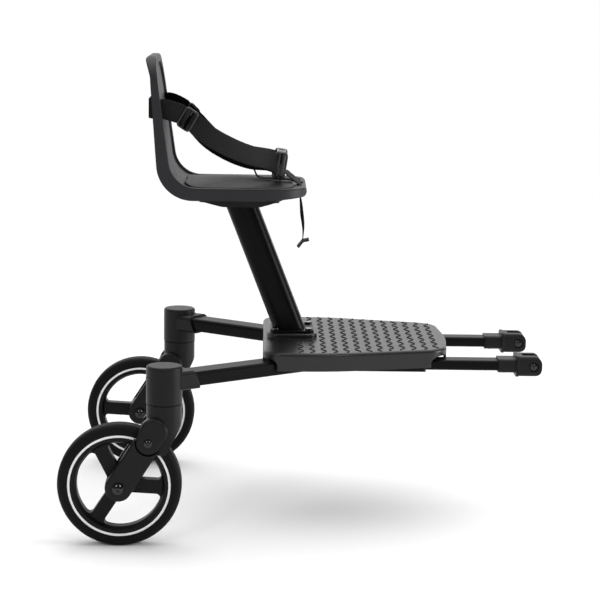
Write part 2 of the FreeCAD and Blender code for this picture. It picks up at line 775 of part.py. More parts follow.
def buffer_spot():
    """Middle of the rubber buffer, in front of the fork's bridge along the bridge's path."""
    away = math.hypot(bridge[0] - pivot[0], bridge[1] - pivot[1])
    path = ((bridge[1] - pivot[1]) / away, (pivot[0] - bridge[0]) / away)
    reach = bridge_r + buffer_r + soft_gap
    return (bridge[0] + path[0] * reach, bridge[1] + path[1] * reach)


def suspension_buffer(side):
    """Rubber roll between the fork's bridge and the knuckle; the fork squeezes it as the wheel rises."""
    y = side * track / 2
    return rod_y(buffer_spot(), buffer_r - fit_gap, y - buffer_w / 2 + fit_gap, y + buffer_w / 2 - fit_gap)


def pivot_screws(side):
    """The two screws that the fork swings on, one in each cheek."""
    y = side * track / 2
    screws = []
    for face in (-1, 1):
        seat = y + face * (leg_out - pivot_recess)
        shank = rod_y(pivot, pivot_screw_r, y + face * leg_in, seat)
        head = rod_y(pivot, pivot_head_r, seat, seat + face * pivot_head_t)
        screws.append(join([shank, head]))
    return Part.makeCompound(screws)


def below_shoulder(gap):
    """Side view of everything below the shoulder where a leg's full thickness starts, grown by a gap."""
    down = (-math.cos(leg_heading), -math.sin(leg_heading))
    across = (-down[1], down[0])
    start = (pivot[0] + down[0] * (leg_shoulder - gap), pivot[1] + down[1] * (leg_shoulder - gap))
    reach = 2 * bridge_reach
    view = [(start[0] - across[0] * reach, start[1] - across[1] * reach, 0),
            (start[0] + across[0] * reach, start[1] + across[1] * reach, 0)]
    return view + [(x + down[0] * reach, z + down[1] * reach, 0) for x, z, _ in reversed(view)]


def fork(side):
    """Trailing fork: legs beside the tyre, tongues that lap inside the cheeks, and a bar over the tyre."""
    y = side * track / 2
    solids = [rod_y(bridge, bridge_r, y - leg_in - tongue_t, y + leg_in + tongue_t)]
    for face in (-1, 1):
        low = y + face * leg_in
        outside = y + face * leg_out
        leg = belt_prism(axle, leg_half_w, pivot, leg_half_w, low, outside)
        leg = round_edges(leg, leg_edge_r, lambda edge: lies_at(edge, "y", outside))
        leg = leg.common(prism_xz(below_shoulder(0), y - 2 * leg_out, y + 2 * leg_out))
        leg = cut(leg, [rod_y(pivot, seam_r + pass_gap, y, outside + face)])
        lap = low + face * tongue_t
        tongue = belt_prism(pivot, tongue_r, bridge, bridge_r + bridge_wrap, low, lap)
        strap = belt_prism(axle, leg_half_w - leg_edge_r, pivot, tongue_r, low, lap)
        boss = rod_y(axle, axle_head_r, y + face * (hub_w / 2 + pass_gap), low)
        solids += [leg, tongue, strap, boss]
    holes = [rod_y(axle, axle_r + fit_gap, y - 2 * leg_out, y + 2 * leg_out),
             rod_y(pivot, pivot_screw_r + run_gap, y - 2 * leg_out, y + 2 * leg_out)]
    return cut(join(solids), holes)


def axle_bolt(side):
    """Axle with a domed head on each leg."""
    y = side * track / 2
    pieces = [rod_y(axle, axle_r, y - leg_out, y + leg_out)]
    for face in (-1, 1):
        outside = y + face * (leg_out + axle_head_t)
        head = rod_y(axle, axle_head_r, y + face * leg_out, outside)
        pieces.append(round_edges(head, axle_head_t / 2, lambda edge: lies_at(edge, "y", outside)))
    return join(pieces)


def spun(corners, side):
    """Solid of revolution about the axle from corners (radius, width, corner radius)."""
    y = side * track / 2
    face = Part.Face(outline(corners, lambda r, w: Vec(axle_x + r, y + w, wheel_r)))
    return face.revolve(Vec(axle_x, y, wheel_r), Vec(0, 1, 0), 360)


def both_halves(half):
    """Corners of a section that is the same on both sides of the wheel's middle."""
    return half + [(r, -w, radius) for r, w, radius in reversed(half)]


def spoke_window(side, angle_deg):
    """Opening between two spokes, with round corners."""
    y = side * track / 2
    spread = 360.0 / spoke_count
    tip = spoke_w / 2 / math.sin(math.radians(spread / 2))
    far = 2 * wheel_r
    corners = [(0.0, 0.0)] + [(far, angle) for angle in (-spread / 2, 0.0, spread / 2)]
    points = []
    for length, angle in corners:
        heading = math.radians(angle_deg + spread / 2 + angle)
        middle = math.radians(angle_deg + spread / 2)
        points.append((axle[0] + tip * math.cos(middle) + length * math.cos(heading),
                       axle[1] + tip * math.sin(middle) + length * math.sin(heading), 0))
    wedge = prism_xz(points, y - spoke_t, y + spoke_t)
    band = cut(rod_y(axle, rim_seat_r - rim_wall, y - spoke_t, y + spoke_t),
               [rod_y(axle, hub_r, y - spoke_t, y + spoke_t)])
    return round_edges(wedge.common(band), window_corner_r,
                       lambda edge: edge.BoundBox.XLength < 1e-3 and edge.BoundBox.ZLength < 1e-3)


def wheel_rim(side, name):
    """Moulded wheel: rim with two lips, spokes with round window corners, and a bored hub."""
    y = side * track / 2
    half = [(rim_seat_r, bead_y, 0), (rim_lip_r, bead_y, 0), (rim_lip_r, rim_w / 2, 0),
            (rim_face_r, rim_w / 2, rim_edge_r), (rim_seat_r - rim_wall, spoke_t / 2, rim_edge_r)]
    rim = spun(both_halves(half), side)
    web = rod_y(axle, rim_seat_r - rim_wall / 2, y - spoke_t / 2, y + spoke_t / 2)
    headings = [first_spoke_deg[name] + 360.0 / spoke_count * i for i in range(spoke_count)]
    windows = [spoke_window(side, heading) for heading in headings]
    hub = rod_y(axle, hub_r, y - hub_w / 2, y + hub_w / 2)
    bores = [rod_y(axle, bearing_r - rim_lip_t, y - hub_w, y + hub_w)]
    for face in (-1, 1):
        bores.append(rod_y(axle, bearing_r, y + face * (hub_w / 2 - bearing_w), y + face * hub_w))
    return cut(join([rim, cut(web, windows), hub]), bores)


def wheel_rings(side):
    """Pale trim rings that close the joint between rim and tyre on both faces."""
    rings = []
    proud = rim_w / 2 + ring_proud
    for face in (-1, 1):
        low = face * (proud - ring_t)
        corners = [(rim_lip_r, low, 0), (rim_lip_r + ring_w, low, 0),
                   (rim_lip_r + ring_w, face * proud, 0), (rim_lip_r, face * proud, 0)]
        rings.append(spun(corners, side))
    return Part.makeCompound(rings)


def tyre(side):
    """Foam rubber tyre with round shoulders, seated between the rim's lips."""
    groove_y = rim_w / 2 + ring_proud - ring_t
    half = [(rim_seat_r, bead_y, 0), (rim_lip_r, bead_y, 0), (rim_lip_r, groove_y, 0),
            (rim_lip_r + ring_w, groove_y, 0), (rim_lip_r + ring_w, tyre_w / 2, 1.0),
            (wheel_r, tyre_w / 2, tyre_shoulder_r)]
    return spun(both_halves(half), side)


def wheel_bearings(side):
    """Ball bearings of the hub, each as one closed ring."""
    y = side * track / 2
    rings = []
    for face in (-1, 1):
        span = (y + face * (hub_w / 2 - bearing_w), y + face * hub_w / 2)
        rings.append(cut(rod_y(axle, bearing_r, *span), [rod_y(axle, axle_r + run_gap, *span)]))
    return Part.makeCompound(rings)


# Deck: a moulded board with a skirt, ribbed and open below, on two cross members.

def deck_plan():
    """Corners of the deck's outline, anticlockwise from the rear right."""
    right = [(deck_rear_x, -deck_half_w, deck_rear_r), (deck_taper_x, -deck_half_w, deck_taper_r),
             (deck_corner_x, -deck_corner_y, deck_corner_r)]
    left = [(x, -y, radius) for x, y, radius in reversed(right)]
    return right + [(deck_front_x, 0.0, deck_nose_r)] + left


def deck_half_width(x, margin):
    """Half the width of the deck's outline at a length x, less a margin."""
    plan = Part.Face(outline(inset(deck_plan(), margin), lambda a, b: Vec(a, b, 0)))
    line = Part.makeLine(Vec(x, -2 * deck_half_w, 0), Vec(x, 2 * deck_half_w, 0))
    return line.common(plan).BoundBox.YMax


def foot_plan(grow):
    """Corners of the post foot's plan, grown all round."""
    return rectangle(foot_len + 2 * grow, foot_w + 2 * grow, foot_corner_r + grow, foot_x)


def foot_bolt_spots():
    """Places of the four bolts of the post foot."""
    a = foot_len / 2 - foot_bolt_inset
    b = foot_w / 2 - foot_bolt_inset
    return [(foot_x + i * a, j * b) for i in (-1, 1) for j in (-1, 1)]


def deck():
    """Board with a rounded rim, a ribbed hollow underside with bosses, arm arches and the post's plinth."""
    plan = deck_plan()
    shell = round_edges(prism_xy(plan, deck_foot_z, deck_top_z), deck_rim_r,
                        lambda edge: lies_at(edge, "z", deck_top_z))
    plinth = prism_xy(foot_plan(plinth_margin), deck_top_z - deck_skin, foot_z)
    plinth = round_edges(plinth, plinth_edge_r, lambda edge: lies_at(edge, "z", foot_z))
    hollow = prism_xy(inset(plan, deck_wall), deck_foot_z - 1, deck_top_z - deck_skin)
    under_plinth = prism_xy(foot_plan(plinth_margin - deck_wall), deck_foot_z, foot_z - deck_skin)
    board = cut(join([shell, plinth]), [hollow, under_plinth])
    added = []
    inside = prism_xy(inset(plan, deck_wall / 2), plate_top_z + pass_gap, deck_top_z - deck_skin / 2)
    step = (deck_front_x - deck_rear_x) / (deck_rib_count + 1)
    for i in range(deck_rib_count):
        x = deck_rear_x + step * (i + 1)
        rib = prism_xy(rectangle(deck_rib_t, 3 * deck_half_w, 0, x), deck_foot_z, deck_top_z)
        added.append(rib.common(inside))
    for y in (-hitch_half / 2, hitch_half / 2):
        rib = prism_xy(rectangle(3 * deck_half_w, deck_rib_t, 0, deck_taper_x, y), deck_foot_z, deck_top_z)
        added.append(rib.common(inside))
    for x, y in deck_screw_places():
        added.append(rod_z(x, y, boss_r, plate_top_z, deck_top_z - deck_skin / 2))
    for x, y in foot_bolt_spots():
        added.append(rod_z(x, y, boss_r + 1, plate_top_z, foot_z - deck_skin / 2))
    board = join([board] + added)
    cuts = [rod_z(x, y, foot_bolt_r + fit_gap, deck_foot_z, foot_z + 1) for x, y in foot_bolt_spots()]
    screw_top = plate_top_z + deck_screw_bite - plate_t
    cuts += [rod_z(x, y, deck_screw_r + fit_gap, plate_top_z - 1, screw_top) for x, y in deck_screw_places()]
    cuts += rivet_rooms()
    for _, side in SIDES:
        arch_h = outer_h + 2 * arch_top
        cuts.append(bent_bar(side, outer_w + 2 * arch_side, arch_h, outer_corner_r + arch_top, tube_start,
                             deck_front_x + 1))
        foot = arm_point(side, tube_start) - UP * outer_h
        low = tube_face(foot, arm_heading(side), outer_w + 2 * arch_side, 2 * outer_h, 0)
        cuts.append(low.extrude(arm_heading(side) * (bend_x - swivel_x)))
        front = straight_bar(side, outer_w + 2 * arch_side, 2 * outer_h, 0, outer_end_x, deck_front_x + 1)
        front.translate(UP * -outer_h)
        cuts.append(front)
    return cut(board, cuts)


def deck_screw_places():
    """Left and right places of the screws that hold the deck from below."""
    return [(x, side * y) for x, y in deck_screw_spots for _, side in SIDES]


def rivet_rooms():
    """Room in the deck's ribs for the rivet heads on the cross members."""
    rooms = []
    for x in rivet_rows_x:
        for _, side in SIDES:
            y = side * arm_half_y(x)
            rooms.append(rod_z(x, y, rivet_head_r + 1, plate_top_z, deck_top_z - deck_skin))
    return rooms


def zigzag(x, y0, y1):
    """One raised zigzag line across the deck."""
    count = max(2, round(2 * (y1 - y0) / grip_wave))
    step = (y1 - y0) / count
    points = [(x + grip_amp * (-1) ** i, y0 + step * i) for i in range(count + 1)]
    near = [Vec(a - grip_line_w / 2, b, deck_top_z) for a, b in points]
    far = [Vec(a + grip_line_w / 2, b, deck_top_z) for a, b in reversed(points)]
    face = Part.Face(Part.makePolygon(near + far + near[:1]))
    return face.extrude(Vec(0, 0, grip_h))


def deck_grip():
    """Rubber zigzag lines moulded on the deck, with a short pair of lines beside the post's plinth."""
    lines = []
    for i in range(grip_rows):
        x = grip_first_x + grip_pitch * i
        half = deck_half_width(x, grip_margin)
        clear_of_plinth = foot_x + foot_len / 2 + plinth_margin + grip_amp + grip_line_w < x
        if clear_of_plinth:
            lines.append(zigzag(x, -half, half))
            continue
        beside = foot_w / 2 + plinth_margin + grip_margin
        lines.append(zigzag(x, -half, -beside))
        lines.append(zigzag(x, beside, half))
    return Part.makeCompound(lines)


def cross_plate():
    """Rear cross plate riveted on both arms; it carries the post's foot and the rear of the deck."""
    rear_half = arm_half_y(plate_rear_x) + plate_rear_past
    front_half = hitch_half + plate_front_past
    right = [(plate_rear_x, -rear_half, plate_corner_r), (plate_front_x, -front_half, plate_corner_r)]
    plan = right + [(x, -y, radius) for x, y, radius in reversed(right)]
    plate = prism_xy(plan, tube_top_z, plate_top_z)
    holes = [rod_z(x, y, foot_bolt_r + fit_gap, tube_z, plate_top_z + 1) for x, y in foot_bolt_spots()]
    holes += [rod_z(foot_x, side * (foot_w / 2 + 2 * plate_hole_r), plate_hole_r, tube_z, plate_top_z + 1)
              for _, side in SIDES]
    return cut(plate, holes + member_holes())


def cross_bar():
    """Front cross bar riveted on both outer tubes."""
    plan = rectangle(bar_w, 2 * (hitch_half + bar_past), plate_corner_r, bar_x + bar_w / 2)
    return cut(prism_xy(plan, tube_top_z, plate_top_z), member_holes())


def member_holes():
    """Holes for the rivets and the deck screws in the cross members."""
    holes = []
    for x in rivet_rows_x:
        for _, side in SIDES:
            holes.append(rod_z(x, side * arm_half_y(x), rivet_r + fit_gap, tube_z, plate_top_z + 1))
    for x, y in deck_screw_places():
        holes.append(rod_z(x, y, deck_screw_r + fit_gap, tube_z, plate_top_z + 1))
    return holes


def tube_rivets():
    """Rivets that hold the cross members on the tubes; each ends flush inside the tube's wall."""
    rivets = []
    for x in rivet_rows_x:
        for _, side in SIDES:
            y = side * arm_half_y(x)
            shank = rod_z(x, y, rivet_r, tube_top_z - outer_wall, plate_top_z)
            head = rod_z(x, y, rivet_head_r, plate_top_z, plate_top_z + rivet_head_t)
            rivets.append(join([shank, head]))
    return Part.makeCompound(rivets)


def deck_screws():
    """Screws from below through the cross members into the deck's bosses."""
    screws = []
    for x, y in deck_screw_places():
        shank = rod_z(x, y, deck_screw_r, tube_top_z, tube_top_z + deck_screw_bite - pass_gap)
        head = rod_z(x, y, deck_screw_head_r, tube_top_z - deck_screw_head_t, tube_top_z)
        screws.append(join([shank, head]))
    return Part.makeCompound(screws)


# Seat post: a leaning flat-sided tube between a bolted foot and the seat's bracket.

def post_x(z):
    """Middle of the leaning post at a height z."""
    return post_foot_x - (z - foot_z - foot_t) * lean


def post_bar(shrink, z0, z1):
    """Solid bar along the post, with level ends and its section made smaller all round."""
    plan = rectangle(post_len_x - 2 * shrink, post_w - 2 * shrink, post_corner_r - shrink, post_x(z0))
    face = Part.Face(outline(plan, lambda x, y: Vec(x, y, z0)))
    return face.extrude(Vec(post_x(z1) - post_x(z0), 0, z1 - z0))


def seat_post():
    """Oval aluminium tube."""
    foot = foot_z + foot_t
    return cut(post_bar(0, foot, bracket_foot_z), [post_bar(post_wall, foot - 1, bracket_foot_z + 1)])


def post_foot():
    """Cast foot: a bolted flange with a spigot inside the post."""
    top = foot_z + foot_t
    flange = prism_xy(foot_plan(0), foot_z, top)
    flange = round_edges(flange, foot_t / 3, lambda edge: lies_at(edge, "z", top))
    spigot = post_bar(post_wall + fit_gap, top - foot_t / 2, top + spigot_len)
    hollow = post_bar(3 * post_wall, foot_z - 1, top + spigot_len + 1)
    holes = [rod_z(x, y, foot_bolt_r + fit_gap, foot_z - 1, top + 1) for x, y in foot_bolt_spots()]
    head_top = top + foot_head_t + fit_gap
    heads = [rod_z(x, y, foot_head_r + fit_gap, top, head_top) for x, y in foot_bolt_spots()]
    return cut(join([flange, spigot]), [hollow] + holes + heads)


def post_foot_bolts():
    """Bolts down through the foot, the plinth and the cross plate, each with its nut."""
    pieces = []
    top = foot_z + foot_t
    for x, y in foot_bolt_spots():
        shank = rod_z(x, y, foot_bolt_r, tube_top_z - foot_nut_t, top)
        pieces.append(join([shank, rod_z(x, y, foot_head_r, top, top + foot_head_t)]))
        nut = rod_z(x, y, foot_nut_r, tube_top_z - foot_nut_t, tube_top_z)
        pieces.append(cut(nut, [rod_z(x, y, foot_bolt_r + fit_gap, tube_z, plate_top_z)]))
    return Part.makeCompound(pieces)


# Seat: a moulded shell with a dished face, a turned rim and a ribbed hollow back.

def back_front(z, depth):
    """Place of the back's front face at a height, sunk into the shell by depth."""
    return heel_x - depth / math.cos(math.radians(back_lean_deg)) - (z - pan_z) * back_slope


def seat_outline():
    """Corners of the seat's side view."""
    return [
        (nose_x, pan_z, nose_r),
        (heel_x, pan_z, inner_bend_r),
        (back_front(back_top_z, 0), back_top_z, lip_r),
        (lip_rear_x, back_top_z, lip_r),
        (back_front(lip_foot_z, 0) - neck_t, lip_foot_z, neck_r),
        (heel_x - heel_t, pan_foot_z, outer_bend_r),
        (pan_rise_x, pan_foot_z, 0),
        (nose_foot_x, nose_foot_z, nose_r),
    ]


def sunk_face(depth):
    """Side view of the seat's face, sunk by depth: nose, heel and top."""
    sink_z = pan_z - depth
    heel = (back_front(sink_z, depth), sink_z, inner_bend_r + depth)
    return [(nose_x, sink_z, 0), heel, (back_front(back_top_z, depth), back_top_z, 0)]


def room_ahead(depth):
    """Side view of the room above and ahead of the seat's face, sunk by depth."""
    return sunk_face(depth) + [(nose_x, back_top_z, 0)]


def room_behind(depth):
    """Side view of the room below and behind the seat's face, sunk by depth."""
    return sunk_face(depth) + [(2 * lip_rear_x, back_top_z, 0), (2 * lip_rear_x, 0, 0), (nose_x, 0, 0)]


def seat_prism(side_view, less):
    """Seat-wide solid of a side view, trimmed to the seat's plan and front view, drawn in by less."""
    half = seat_half_w - less
    high = back_top_z + seat_half_w
    body = prism_xz(side_view, -half, half)
    plan = [(2 * lip_rear_x, -half, 0), (nose_x - less, -half, seat_front_r - less),
            (nose_x - less, half, seat_front_r - less), (2 * lip_rear_x, half, 0)]
    top_half = half - back_draw
    top_r = top_r_share * back_h
    shoulder_z = pan_z + shoulder_share * back_h
    top_z = back_top_z - less
    front = [(-half, 0, 0), (half, 0, 0), (half, shoulder_z, seat_front_r), (top_half, top_z, top_r),
             (-top_half, top_z, top_r), (-half, shoulder_z, seat_front_r)]
    return body.common(prism_xy(plan, 0, high)).common(prism_yz(front, 2 * lip_rear_x, 2 * seat_half_w))


def seat_shell():
    """Dished shell, hollow behind, with ribs, screw bosses, two belt slots and the crotch strap's slot."""
    body = seat_prism(seat_outline(), 0)
    dish = seat_prism(room_ahead(dish_depth), dish_inset)
    hollow = seat_prism(room_behind(dish_depth + seat_wall), seat_wall)
    ribs = []
    for y in (-seat_rib_y, seat_rib_y):
        ribs.append(prism_xz(seat_outline(), y - seat_rib_t / 2, y + seat_rib_t / 2))
    bosses = [rod_z(x, y, seat_boss_r, pan_foot_z, floor_z + seat_wall / 2) for x, y in seat_screw_spots()]
    shell = join([cut(body, [hollow])] + ribs + bosses)
    cuts = [dish]
    for _, side in SIDES:
        slot = rectangle(belt_slot_w, belt_slot_h, slot_corner_r, side * belt_slot_y, belt_slot_z)
        cuts.append(prism_yz(slot, 2 * lip_rear_x, 0))
    slot = rectangle(crotch_slot_len, crotch_w + 4 * soft_gap, slot_corner_r, crotch_slot_x)
    cuts.append(prism_xy(slot, pan_foot_z - 1, pan_z + 1))
    screw_top = pan_foot_z + seat_screw_bite
    cuts += [rod_z(x, y, seat_screw_r, pan_foot_z - 1, screw_top) for x, y in seat_screw_spots()]
    return cut(shell, cuts)


def seat_screw_spots():
    """Places of the screws between bracket and seat."""
    return [(x, side * seat_screw_y) for x in seat_screw_spots_x for _, side in SIDES]


def seat_pad():
    """Soft pad in the pan's dish, with a crown and drawn-in sides."""
    foot = dish_z + fit_gap
    middle = (pad_front_x + pad_rear_x) / 2
    plan = rectangle(pad_front_x - pad_rear_x, 2 * pad_half_w, pad_corner_r, middle)
    block = prism_xy(plan, foot, foot + pad_edge_h + 2 * pad_crown)
    crown_r = pad_half_w ** 2 / 2 / pad_crown
    ball = Part.makeSphere(crown_r, Vec(middle, 0, foot + pad_edge_h + pad_crown - crown_r))
    pad = block.common(ball)
    pad = round_edges(pad, pad_edge_r, lambda edge: edge.BoundBox.ZMin > foot + pad_edge_r)
    return pad.common(prism_xz(room_ahead(dish_depth - fit_gap), -pad_half_w, pad_half_w))


def seat_bracket():
    """Moulded carrier under the pan with a spigot in the post's top."""
    flat = post_len_x / 2 + bracket_flat_past
    middle = post_x(bracket_foot_z)
    view = [(bracket_front_x, bracket_edge_z, 0), (bracket_front_x, pan_foot_z, 0),
            (bracket_rear_x, pan_foot_z, 0), (bracket_rear_x, bracket_edge_z, 0),
            (middle - flat, bracket_foot_z, bracket_bend_r), (middle + flat, bracket_foot_z, bracket_bend_r)]
    carrier = prism_xz(view, -bracket_half_w, bracket_half_w)
    length = bracket_front_x - bracket_rear_x
    plan = rectangle(length, 2 * bracket_half_w, bracket_half_w / 2, (bracket_front_x + bracket_rear_x) / 2)
    carrier = carrier.common(prism_xy(plan, bracket_foot_z - 1, pan_foot_z + 1))
    spigot = post_bar(post_wall + fit_gap, bracket_foot_z - spigot_len, bracket_foot_z + bracket_edge_r)
    hollow = post_bar(3 * post_wall, bracket_foot_z - spigot_len - 1, bracket_foot_z + bracket_edge_r)
    low = bracket_foot_z - 1
    holes = [rod_z(x, y, seat_screw_r + fit_gap, low, pan_foot_z + 1) for x, y in seat_screw_spots()]
    seats = [rod_z(x, y, seat_screw_head_r + pass_gap, low, screw_seat_z()) for x, y in seat_screw_spots()]
    return cut(join([carrier, spigot]), [hollow] + holes + seats)


def screw_seat_z():
    """Height of the spot faces for the seat screws' heads."""
    return bracket_edge_z - bracket_edge_r


def seat_bracket_screws():
    """Screws up through the bracket into the seat's bosses."""
    screws = []
    for x, y in seat_screw_spots():
        shank = rod_z(x, y, seat_screw_r, screw_seat_z(), pan_foot_z + seat_screw_bite)
        head = rod_z(x, y, seat_screw_head_r, screw_seat_z() - seat_screw_head_t, screw_seat_z())
        screws.append(join([shank, head]))
    return Part.makeCompound(screws)


# Lap belt: webbing through the back's slots and a side-release buckle, held down by a crotch strap.

def belt_route(side):
    """Stations of the belt on one side, from the back's middle to the buckle."""
    behind = back_front(belt_slot_z, 0)
    end_y = (socket_len + tongue_len) / 2 + soft_gap
    stations = []
    for ahead, out, up, droop in belt_shares:
        height = up - droop if side > 0 else up
        x = behind + ahead * (buckle_x - behind)
        y = end_y + out * (belt_slot_y - end_y)
        stations.append(Vec(x, side * y, buckle_z + height * (belt_slot_z - buckle_z)))
    return stations + [Vec(buckle_x, side * end_y, buckle_z)]


def web_section(before, here, after, thickness):
    """Upright rectangle of webbing at a station, square to the route."""
    along = after - before
    along.normalize()
    across = Vec(-along.y, along.x, 0)
    across.normalize()
    up = along.cross(across) * -1.0
    if up.z < 0:
        up = up * -1.0
    corners = [here + across * (i * thickness / 2) + up * (j * web_w / 2)
               for i, j in ((1, 1), (-1, 1), (-1, -1), (1, -1))]
    return Part.makePolygon(corners + corners[:1])


def waist_belt():
    """Webbing from one end of the buckle round the back to the other; double ahead of the slides."""
    right = belt_route(-1)
    left = belt_route(1)
    route = list(reversed(right)) + left
    middle = len(right)
    sections = []
    at_buckle = Vec(buckle_x, 0, buckle_z)
    for i, here in enumerate(route):
        before = route[i - 1] if 0 < i < len(route) - 1 else here
        after = route[i + 1] if 0 < i < len(route) - 1 else at_buckle
        station = middle - 1 - i if i < middle else i - middle
        thickness = 2 * web_t if station >= glide_at else web_t
        sections.append(web_section(before, here, after, thickness))
    return Part.makeLoft(sections, True, True)


def tri_glides():
    """Three-bar slides that take up the slack, one on each side of the belt."""
    glides = []
    for name, side in SIDES:
        route = belt_route(side)
        run = route[glide_at] - route[glide_at - 1]
        along = Vec(run).normalize()
        out = Vec(along.y, -along.x, 0).normalize() * -side
        turn = FreeCAD.Rotation(out, side * glide_turn_deg)
        along = turn.multVec(along)
        up = out.cross(along) * -side
        base = route[glide_at - 1] + run * glide_share[name] + out * (web_t + 2 * soft_gap)
        plan = rectangle(glide_len, glide_h, glide_corner_r)
        plate = Part.Face(outline(plan, lambda a, b: base + along * a + up * b)).extrude(out * glide_t)
        window = glide_len / 2 - 1.5 * glide_bar
        slots = []
        for place in (-1, 1):
            slot = rectangle(window, web_w + 4 * soft_gap, glide_slot_r, place * (window + glide_bar) / 2)
            face = Part.Face(outline(slot, lambda a, b: base - out + along * a + up * b))
            slots.append(face.extrude(out * (glide_t + 2)))
        glides.append(cut(plate, slots))
    return Part.makeCompound(glides)


def put_buckle(shape):
    """Lean a buckle piece and move it from its own middle to its place on the belt."""
    shape.rotate(Vec(0, 0, 0), Vec(0, 1, 0), buckle_lean_deg)
    shape.translate(Vec(buckle_x, 0, buckle_z))
    return shape


def buckle_start():
    """Right end of the buckle across the board."""
    return -(socket_len + tongue_len) / 2


def on_buckle_face(edge):
    """True for the edges of a buckle piece's front and rear faces."""
    return lies_at(edge, "x", buckle_t / 2) or lies_at(edge, "x", -buckle_t / 2)


def buckle_socket():
    """Female half: a hollow housing open at the sides for the prongs, with a bar for the webbing."""
    start = buckle_start()
    plan = rectangle(socket_len, buckle_h, buckle_corner_r, start + socket_len / 2)
    body = prism_yz(plan, -buckle_t / 2, buckle_t / 2)
    body = round_edges(body, buckle_edge_r, on_buckle_face)
    cavity = prism_yz(rectangle(prong_reach + 2 * prong_gap + 1, buckle_h - 2 * buckle_bar, 0,
                                start + socket_len - (prong_reach + 2 * prong_gap - 1) / 2),
                      -buckle_t / 4 - prong_gap, buckle_t / 4 + prong_gap)
    doors = prism_yz(rectangle(prong_reach / 2, 2 * buckle_h, 0, start + socket_len - prong_reach / 2),
                     -buckle_t / 4 - prong_gap, buckle_t / 4 + prong_gap)
    room = rectangle(2 * web_t, web_w + 4 * soft_gap, 0, start + buckle_bar)
    return put_buckle(cut(body, [cavity, doors, prism_yz(room, -buckle_t, buckle_t)]))


def buckle_tongue():
    """Male half: a bar for the webbing, a guide tongue and two prongs that snap into the socket's doors."""
    start = buckle_start() + socket_len
    middle = start + (tongue_len + prong_gap) / 2
    plan = rectangle(tongue_len - prong_gap, buckle_h, buckle_corner_r, middle)
    body = prism_yz(plan, -buckle_t / 2, buckle_t / 2)
    body = round_edges(body, buckle_edge_r, on_buckle_face)
    room = rectangle(2 * web_t, web_w + 4 * soft_gap, 0, start + tongue_len - buckle_bar)
    pieces = [cut(body, [prism_yz(room, -buckle_t, buckle_t)])]
    high = buckle_h / 2 - buckle_bar - prong_gap - prong_h / 2
    for z in (-high, 0.0, high):
        middle = start - (prong_reach - buckle_bar) / 2
        plan = rectangle(prong_reach + buckle_bar, prong_h, prong_edge_r, middle, z)
        pieces.append(prism_yz(plan, -buckle_t / 4, buckle_t / 4))
    return put_buckle(join(pieces))


def band(points, thickness, bend):
    """Corners of a ribbon's side view along points, with round bends."""
    near = []
    far = []
    for i, (x, z) in enumerate(points):
        before = points[max(i - 1, 0)]
        after = points[min(i + 1, len(points) - 1)]
        run = math.hypot(after[0] - before[0], after[1] - before[1])
        half = thickness / 2 / run
        across = ((before[1] - after[1]) * half, (after[0] - before[0]) * half)
        radius = bend if 0 < i < len(points) - 1 else 0
        near.append((x + across[0], z + across[1], radius))
        far.append((x - across[0], z - across[1], radius))
    return near + far[::-1]


def crotch_strap():
    """Narrow webbing that holds the buckle down: one layer from its face, one under it with a loose end."""
    foot = (crotch_slot_x, pan_foot_z - strap_past)
    layers = []
    for route in (crotch_front, crotch_under):
        points = [(crotch_slot_x + x, pan_z + z) for x, z in route] + [foot]
        layers.append(prism_xz(band(points, web_t, crotch_bend_r), -crotch_w / 2, crotch_w / 2))
    return join(layers)


def tail_route():
    """Side view of the strap's loose end, from the foot of the slot to the stopper."""
    return [(crotch_slot_x + x, pan_foot_z + z) for x, z in tail_hang]


def strap_tail():
    """Loose end of the crotch strap, hanging free under the pan."""
    return prism_xz(band(tail_route(), tail_t, tail_bend_r), -tail_w / 2, tail_w / 2)


def strap_stopper():
    """Bent end piece that keeps the strap from pulling back through the slot."""
    x, z = tail_route()[-1]
    z -= stopper_t / 2 + soft_gap
    points = [(x + ahead, z + up) for ahead, up in (stopper_rear, (0.0, 0.0), stopper_front)]
    return prism_xz(band(points, stopper_t, stopper_bend_r), -stopper_w / 2, stopper_w / 2)


def main():
    os.makedirs("parts", exist_ok=True)
    for name, side in SIDES:
        save("outer_tube_" + name, outer_tube(side))
        save("hitch_tube_" + name, hitch_tube(side))
        save("hitch_clevis_" + name, hitch_clevis(side))
        save("hitch_bolt_" + name, hitch_bolt(side))
        save("clevis_screw_" + name, clevis_screw(side))
        save("caster_housing_" + name, caster_housing(side))
        save("release_button_" + name, release_button(side))
        save("swivel_stem_" + name, swivel_stem(side))
        save("knuckle_" + name, knuckle(side))
        save("suspension_buffer_" + name, suspension_buffer(side))
        save("pivot_screws_" + name, pivot_screws(side))
        save("fork_" + name, fork(side))
        save("axle_" + name, axle_bolt(side))
        save("wheel_rim_" + name, wheel_rim(side, name))
        save("wheel_rings_" + name, wheel_rings(side))
        save("tyre_" + name, tyre(side))
        save("wheel_bearings_" + name, wheel_bearings(side))
    save("guide_bushes", Part.makeCompound([guide_bush(side) for _, side in SIDES]))
    save("clamp_screws", Part.makeCompound([clamp_screw(side) for _, side in SIDES]))
    save("swivel_bushes", swivel_bushes())
    save("cross_plate", cross_plate())
    save("cross_bar", cross_bar())
    save("tube_rivets", tube_rivets())
    save("deck", deck())
    save("deck_grip", deck_grip())
    save("deck_screws", deck_screws())
    save("post_foot", post_foot())
    save("post_foot_bolts", post_foot_bolts())
    save("seat_post", seat_post())
    save("seat_bracket", seat_bracket())
    save("seat_bracket_screws", seat_bracket_screws())
    save("seat_shell", seat_shell())
    save("seat_pad", seat_pad())
    save("waist_belt", waist_belt())
    save("tri_glides", tri_glides())
    save("buckle_socket", buckle_socket())
    save("buckle_tongue", buckle_tongue())
    save("crotch_strap", crotch_strap())
    save("strap_tail", strap_tail())
    save("strap_stopper", strap_stopper())


main()
